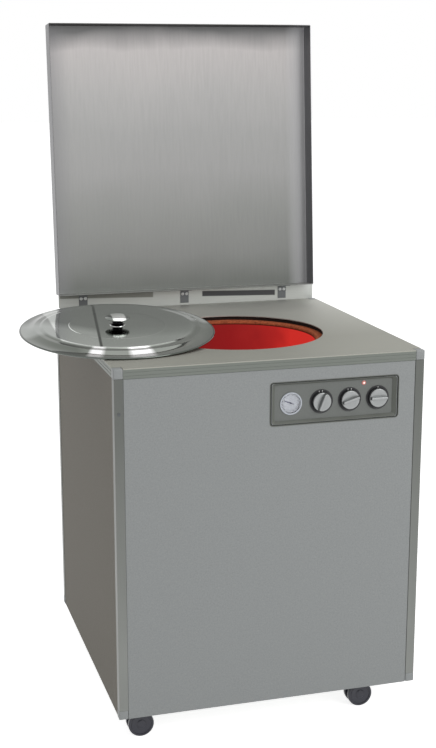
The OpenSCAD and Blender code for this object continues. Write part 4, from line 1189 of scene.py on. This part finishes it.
@dataclass
class ControlPanel:
    """Bezel, knobs with their discs, gauge dial and pilot lamp.

    Each knob has its body, the angle of its bar from upright, clockwise from the front, and the
    angles of the ticks on its disc, in degrees.
    """

    bezel_low: Vector
    bezel_high: Vector
    knobs: dict = field(default_factory=lambda: {
        "thermostat": (Body.THERMOSTAT, 22.0, (-13, 5)), "lower_heat": (Body.LOWER_HEAT, 73.3, (-10, 9)),
        "upper_heat": (Body.UPPER_HEAT, 90.0, (2,))})
    needle_turn: float = -68.0
    corner: float = 8 * MM
    side_bevel: float = 13 * MM
    top_bevel: float = 9 * MM
    lip: float = 1.4 * MM
    step: float = 1.2 * MM
    ledge: float = 2.5 * MM
    marks: int = 28
    sweep: float = 270.0
    knob_radius: float = 21 * MM
    cap_height: float = 8 * MM
    bar_half: float = 4.5 * MM

    def build(self) -> None:
        """Builds every piece of the panel."""
        self.build_bezel()
        self.build_dial()
        self.build_needle()
        self.build_lens()
        disc = MouldedPlastic("disc_black_phenolic", "#232325", 0.35).build()
        metal = BrushedStainless("knob_satin_aluminium", "#8E9090", Axis.X, 0.38, 0.6 * MM, 30 * MM,
                                 0.06).build()
        white = SatinPaint("tick_white_print", "#E8E8E6", 0.5).build()
        for name, (body, turn, _) in self.knobs.items():
            self.build_knob(name, body, turn, metal)
        self.build_discs(disc, white)

    @staticmethod
    def shaft(name: str) -> tuple[float, float]:
        """Gives the X and Z of a control's shaft."""
        low, high = span(f"{name}_shaft")
        return (low.x + high.x) / 2, (low.z + high.z) / 2

    def build_bezel(self) -> None:
        """Models the bezel from a block: round corners, then the sloped opening pushed in."""
        low, high = self.bezel_low, self.bezel_high
        middle = (low + high) / 2
        width, height = high.x - low.x, high.z - low.z
        piece = add_block(tuple(low), tuple(high))
        pick(piece, Part.EDGES, lambda co, way: abs(way.y) > SQUARE)
        bpy.ops.mesh.bevel(offset=self.corner, segments=8, affect="EDGES")
        pick(piece, Part.FACES, lambda co, way: way.y < -SQUARE)
        bpy.ops.mesh.inset(thickness=self.lip)
        push((0, self.step, 0))
        bpy.ops.mesh.inset(thickness=self.ledge)
        push((0, high.y - low.y - self.step - 0.4 * MM, 0))
        edge = 2 * (self.lip + self.ledge)
        narrower = (width - 2 * self.side_bevel) / (width - edge)
        lower = (height - 2 * self.top_bevel) / (height - edge)
        bpy.ops.transform.resize(value=(narrower, 1, lower), center_override=(middle.x, high.y, middle.z))
        bpy.ops.mesh.delete(type="FACE")
        pick(piece, Part.FACES, lambda co, way: way.y > SQUARE)
        bpy.ops.mesh.delete(type="FACE")
        round_edges(piece, 0.5 * MM, 2)
        paint = SatinPaint("bezel_enamel", "#62655F", 0.6).build()
        finish_piece(piece, "control_moulded_bezel", Body.CABINET.value, paint, "bezel_metal",
                     "control_bezel")

    def build_dial(self) -> None:
        """Spins the dial plate and sets raised scale marks round it."""
        low, high = span("gauge_dial")
        centre = (low + high) / 2
        radius, thick, bore = (high.x - low.x) / 2, high.y - low.y, 0.9 * MM
        plate = lathe([(bore, 0), (radius, 0), (radius, thick * 0.8), (radius - 0.3 * MM, thick),
                       (bore, thick)], closed=True)
        place_mesh(plate, moved((centre.x, high.y, centre.z), QUARTER))
        pale = SatinPaint("dial_pale_print", "#B4B8C0", 0.5, 0.0, 0.03).build()
        finish_piece(plate, "gauge_printed_dial", Body.CABINET.value, pale, "dial_face", "gauge_dial")
        marks = []
        for i in range(self.marks):
            length = (3.6 if i % 3 else 5.2) * MM
            mark = add_block((-0.35 * MM, -0.12 * MM, radius - length), (0.35 * MM, 0, radius - 1.6 * MM))
            round_edges(mark, 0.05 * MM)
            turn = math.radians(self.sweep * i / (self.marks - 1) - self.sweep / 2)
            place_mesh(mark, moved((centre.x, low.y, centre.z), turn=turn))
            marks.append(mark)
        dark = SatinPaint("scale_dark_print", "#4A4D5C", 0.5).build()
        finish_piece(join(marks), "gauge_scale_marks", Body.CABINET.value, dark, "needle")

    def build_needle(self) -> None:
        """Models the pointer: broad about its hub, drawn out to a thin tip."""
        low, _ = span("gauge_needle")
        dial_low, dial_high = span("gauge_dial")
        middle = (dial_low + dial_high) / 2
        half, tail, neck, tip = 1.25 * MM, -8 * MM, 7 * MM, 17 * MM
        needle = add_block((-half, 0, tail), (half, 0.6 * MM, neck))
        pick(needle, Part.FACES, lambda co, way: way.z > SQUARE)
        push((0, 0, tip - neck))
        bpy.ops.transform.resize(value=(0.3, 1, 1), center_override=(0, 0, tip))
        pick(needle, Part.FACES, lambda co, way: way.z < -SQUARE)
        bpy.ops.transform.resize(value=(0.7, 1, 1), center_override=(0, 0, tail))
        round_edges(needle, 0.12 * MM)
        hub_line = ((0, 0), (2.2, 0), (2.2, 0.5), (1.6, 0.8), (0, 0.8))
        hub = lathe([(r * MM, z * MM) for r, z in hub_line], 32)
        place_mesh(hub, moved((0, 0.8 * MM, 0), QUARTER))
        pointer = join([needle, hub])
        place_mesh(pointer, moved((middle.x, low.y, middle.z), turn=math.radians(self.needle_turn)))
        blue = SatinPaint("pointer_enamel", "#3A3E62", 0.5).build()
        finish_piece(pointer, "gauge_tapered_needle", Body.GAUGE.value, blue, "needle", "gauge_needle")

    def build_lens(self) -> None:
        """Spins the lens as a low dome on its rim."""
        low, high = span("pilot_lamp_lens")
        centre = (low + high) / 2
        rim, height = (high.x - low.x) / 2, high.y - low.y
        line = [(0.0, 0.0), (rim, 0.0), (rim, 0.25 * height), (rim * 0.93, 0.32 * height)]
        line += arc((0.0, -rim * 0.35), rim * 0.9, 38, 90, 8)
        top = max(z for _, z in line)
        piece = lathe([(r, z * height / top) for r, z in line], 48)
        place_mesh(piece, moved((centre.x, high.y, centre.z), QUARTER))
        lens = LitLens("lamp_red_acrylic", "#F4E6E0", "#C4776C", "#7A5653", (centre.x, 0.0, centre.z),
                       rim).build()
        finish_piece(piece, "pilot_domed_lens", Body.CABINET.value, lens, "lamp_lens", "pilot_lamp_lens")

    def build_knob(self, name: str, body: Body, turn: float, metal: Material) -> None:
        """Models one knob: a dished round cap with a grip bar across it.

        Args:
            name: The control's name.
            body: Body that turns with the shaft.
            turn: Angle of the bar from upright, clockwise from the front, in degrees.
            metal: Finish of the cap.
        """
        low, high = span(f"{name}_knob")
        x, z = self.shaft(name)
        radius, cap, half, full = self.knob_radius, self.cap_height, self.bar_half, high.y - low.y
        line = [(3.05 * MM, 0.0), (radius - 0.6 * MM, 0.0), (radius, 0.6 * MM), (radius, cap - 2.6 * MM)]
        line += arc((radius - 2.2 * MM, cap - 2.4 * MM), 2.2 * MM, 10, 80, 5)
        line += [(radius - 4.5 * MM, cap - 0.2 * MM), (radius * 0.5, cap - 1.3 * MM), (0.0, cap - 1.6 * MM)]
        dish = lathe(line)
        bar = add_block((-half, -radius + 0.5 * MM, cap - 3 * MM), (half, radius - 0.5 * MM, full))
        pick(bar, Part.EDGES, lambda co, way: abs(way.z) > SQUARE)
        bpy.ops.mesh.bevel(offset=half * 0.55, segments=6, affect="EDGES")
        pick(bar, Part.FACES, lambda co, way: way.z > SQUARE)
        bpy.ops.transform.resize(value=(0.62, 0.93, 1), center_override=(0, 0, full))
        round_edges(bar, 2.2 * MM, 5)
        piece = join([dish, bar])
        place_mesh(piece, moved((x, high.y, z), QUARTER, math.radians(turn)))
        finish_piece(piece, f"{name}_gripped_knob", body.value, metal, "knob_metal", f"{name}_knob")

    def build_discs(self, black: Material, white: Material) -> None:
        """Spins the discs behind the knobs, with a raised outer ring, and sets ticks at their tops.

        Args:
            black: Finish of the discs.
            white: Finish of the ticks.
        """
        low, high = span("knob_escutcheons")
        thick, radius, z = high.y - low.y, (high.z - low.z) / 2, (low.z + high.z) / 2
        floor, bore = thick * 0.75, 5 * MM
        line = [(bore, 0.0), (radius, 0.0), (radius, thick * 0.6), (radius - 0.6 * MM, thick),
                (radius - 1.6 * MM, thick), (radius - 2.2 * MM, floor), (bore, floor)]
        discs, ticks = [], []
        for name, (_, _, turns) in self.knobs.items():
            x, _ = self.shaft(name)
            disc = lathe(line, closed=True)
            place_mesh(disc, moved((x, high.y, z), QUARTER))
            discs.append(disc)
            for turn in turns:
                tick = add_block((-0.7 * MM, -thick * 0.85 - 0.1 * MM, radius - 5.2 * MM),
                                 (0.7 * MM, -thick * 0.7, radius - 2.3 * MM))
                round_edges(tick, 0.1 * MM)
                place_mesh(tick, moved((x, high.y, z), turn=math.radians(turn)))
                ticks.append(tick)
        finish_piece(join(discs), "knob_black_discs", Body.CABINET.value, black, "black_disc",
                     "knob_escutcheons")
        finish_piece(join(ticks), "knob_white_ticks", Body.CABINET.value, white, "dial_face")


@dataclass
class Frame:
    """Corner caps and hinge screws, modelled finer than the construction.

    The screw head's line is its radius and height at each point, in millimetres.
    """

    cap_side: float = 20.8 * MM
    cap_round: float = 2.4 * MM
    low_cap: float = 20 * MM
    high_cap: float = 22 * MM
    leaf_width: float = 22 * MM
    leaf_sheet: float = 1.3 * MM
    knuckle_radius: float = 2.35 * MM
    screw_drop: float = 10 * MM
    head_line: Profile = ((0, 0.4), (1.4, 0.45), (1.9, 1.1), (3.0, 1.15), (3.8, 0.8), (4.2, 0.3),
                          (4.2, 0), (0, 0))

    def build(self) -> None:
        """Builds the eight caps and the screws of the three hinges."""
        self.build_caps()
        self.build_hinge_screws()

    def build_caps(self) -> None:
        """Models the caps as rounded blocks, one for each corner of the cabinet."""
        low, high = span("corner_caps")
        top_low = span("worktop")[1].z - self.high_cap
        caps = []
        for sx in (-1, 1):
            for sy in (-1, 1):
                x0, x1 = sorted((sx * high.x, sx * (high.x - self.cap_side)))
                y0, y1 = sorted((sy * high.y, sy * (high.y - self.cap_side)))
                for z0, z1 in ((low.z, low.z + self.low_cap), (top_low, high.z)):
                    cap = add_block((x0, y0, z0), (x1, y1, z1))
                    round_edges(cap, self.cap_round, 4)
                    caps.append(cap)
        paint = SatinPaint("cap_cast_alloy", "#8C8F8F", 0.5, 0.2).build()
        finish_piece(join(caps), "corner_cast_caps", Body.CABINET.value, paint, "cap_metal", "corner_caps")

    def build_hinge_screws(self) -> None:
        """Sets two pan-head screws on each fixed leaf, below its axis."""
        low, high = span("hinge_fixed_leaves")
        half = self.leaf_width / 2
        z = high.z - self.knuckle_radius - self.screw_drop
        heads = []
        for centre in (low.x + half, (low.x + high.x) / 2, high.x - half):
            for side in (-1, 1):
                head = lathe([(r * MM, up * MM) for r, up in self.head_line], 24)
                place_mesh(head, moved((centre + side * half / 2, high.y - self.leaf_sheet, z), QUARTER))
                heads.append(head)
        steel = SatinPaint("screw_bright_zinc", "#C9CBCB", 0.35, 0.5).build()
        finish_piece(join(heads), "hinge_screw_heads", Body.CABINET.value, steel, "pin_steel")


@dataclass
class Castors:
    """Twin wheels with a tyre, a groove and a dished hub.

    The hub's line is given in shares of the wheel's radius and in millimetres from its face.
    """

    width: float = 11 * MM
    bore: float = 3.05 * MM
    axle_radius: float = 3 * MM
    tyre: float = 2.4 * MM
    hub_line: Profile = (
        (0.83, 0), (0.81, -0.3), (0.80, -1.5), (0.78, -1.5), (0.77, -0.6), (0.60, -1.6), (0.36, -1.8),
        (0.32, -0.4), (0.28, 0), (0.10, 0), (0, 0))

    def build(self) -> None:
        """Builds the four pairs."""
        rubber = MouldedPlastic("wheel_dark_nylon", "#22232F", 0.30).build()
        for end in CASTORS:
            self.build_pair(end, rubber)

    def build_pair(self, end: str, rubber: Material) -> None:
        """Spins both wheels and joins them with the axle."""
        low, high = span(f"{end}_wheels")
        centre = (low + high) / 2
        radius, width = (high.z - low.z) / 2, self.width
        inner = (high.y - low.y) / 2 - width
        line = [(self.bore, 0.0), (radius - 1.2 * MM, 0.0), (radius, 1.2 * MM), (radius, width - 3 * MM)]
        line += arc((radius - self.tyre, width - self.tyre), self.tyre, 10, 90, 5)
        line += [(radius * share, width + out * MM) for share, out in self.hub_line]
        pieces = []
        for side in (1, -1):
            wheel = lathe(line, 64)
            place_mesh(wheel, moved((centre.x, centre.y + side * inner, centre.z), -side * QUARTER))
            pieces.append(wheel)
        axle = lathe([(0.0, -inner), (self.axle_radius, -inner), (self.axle_radius, inner), (0.0, inner)], 32)
        place_mesh(axle, moved(centre, QUARTER))
        finish_piece(join([*pieces, axle]), f"{end}_twin_wheels", f"{end}_wheel_pair", rubber,
                     "castor_wheel", f"{end}_wheels")


def main() -> None:
    """Builds the scene in order: studio first, then each sub-assembly."""
    logging.basicConfig(level=logging.INFO, format="%(name)s: %(message)s")
    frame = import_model()
    joints = {joint["name"]: joint for joint in frame["joints"]}
    Studio().build()
    Finishes(frame["nodes"]).build()
    Frame().build()
    lid_low, lid_high = span("lid_tray")
    Lid(Vector(joints["lid_hinge"]["pos_m"]), lid_low.x, lid_high.x).build()
    Cover().build()
    Pot(*span("clay_pot")).build()
    ControlPanel(*span("control_bezel")).build()
    Castors().build()
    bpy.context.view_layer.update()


if __name__ == "__main__":
    main()
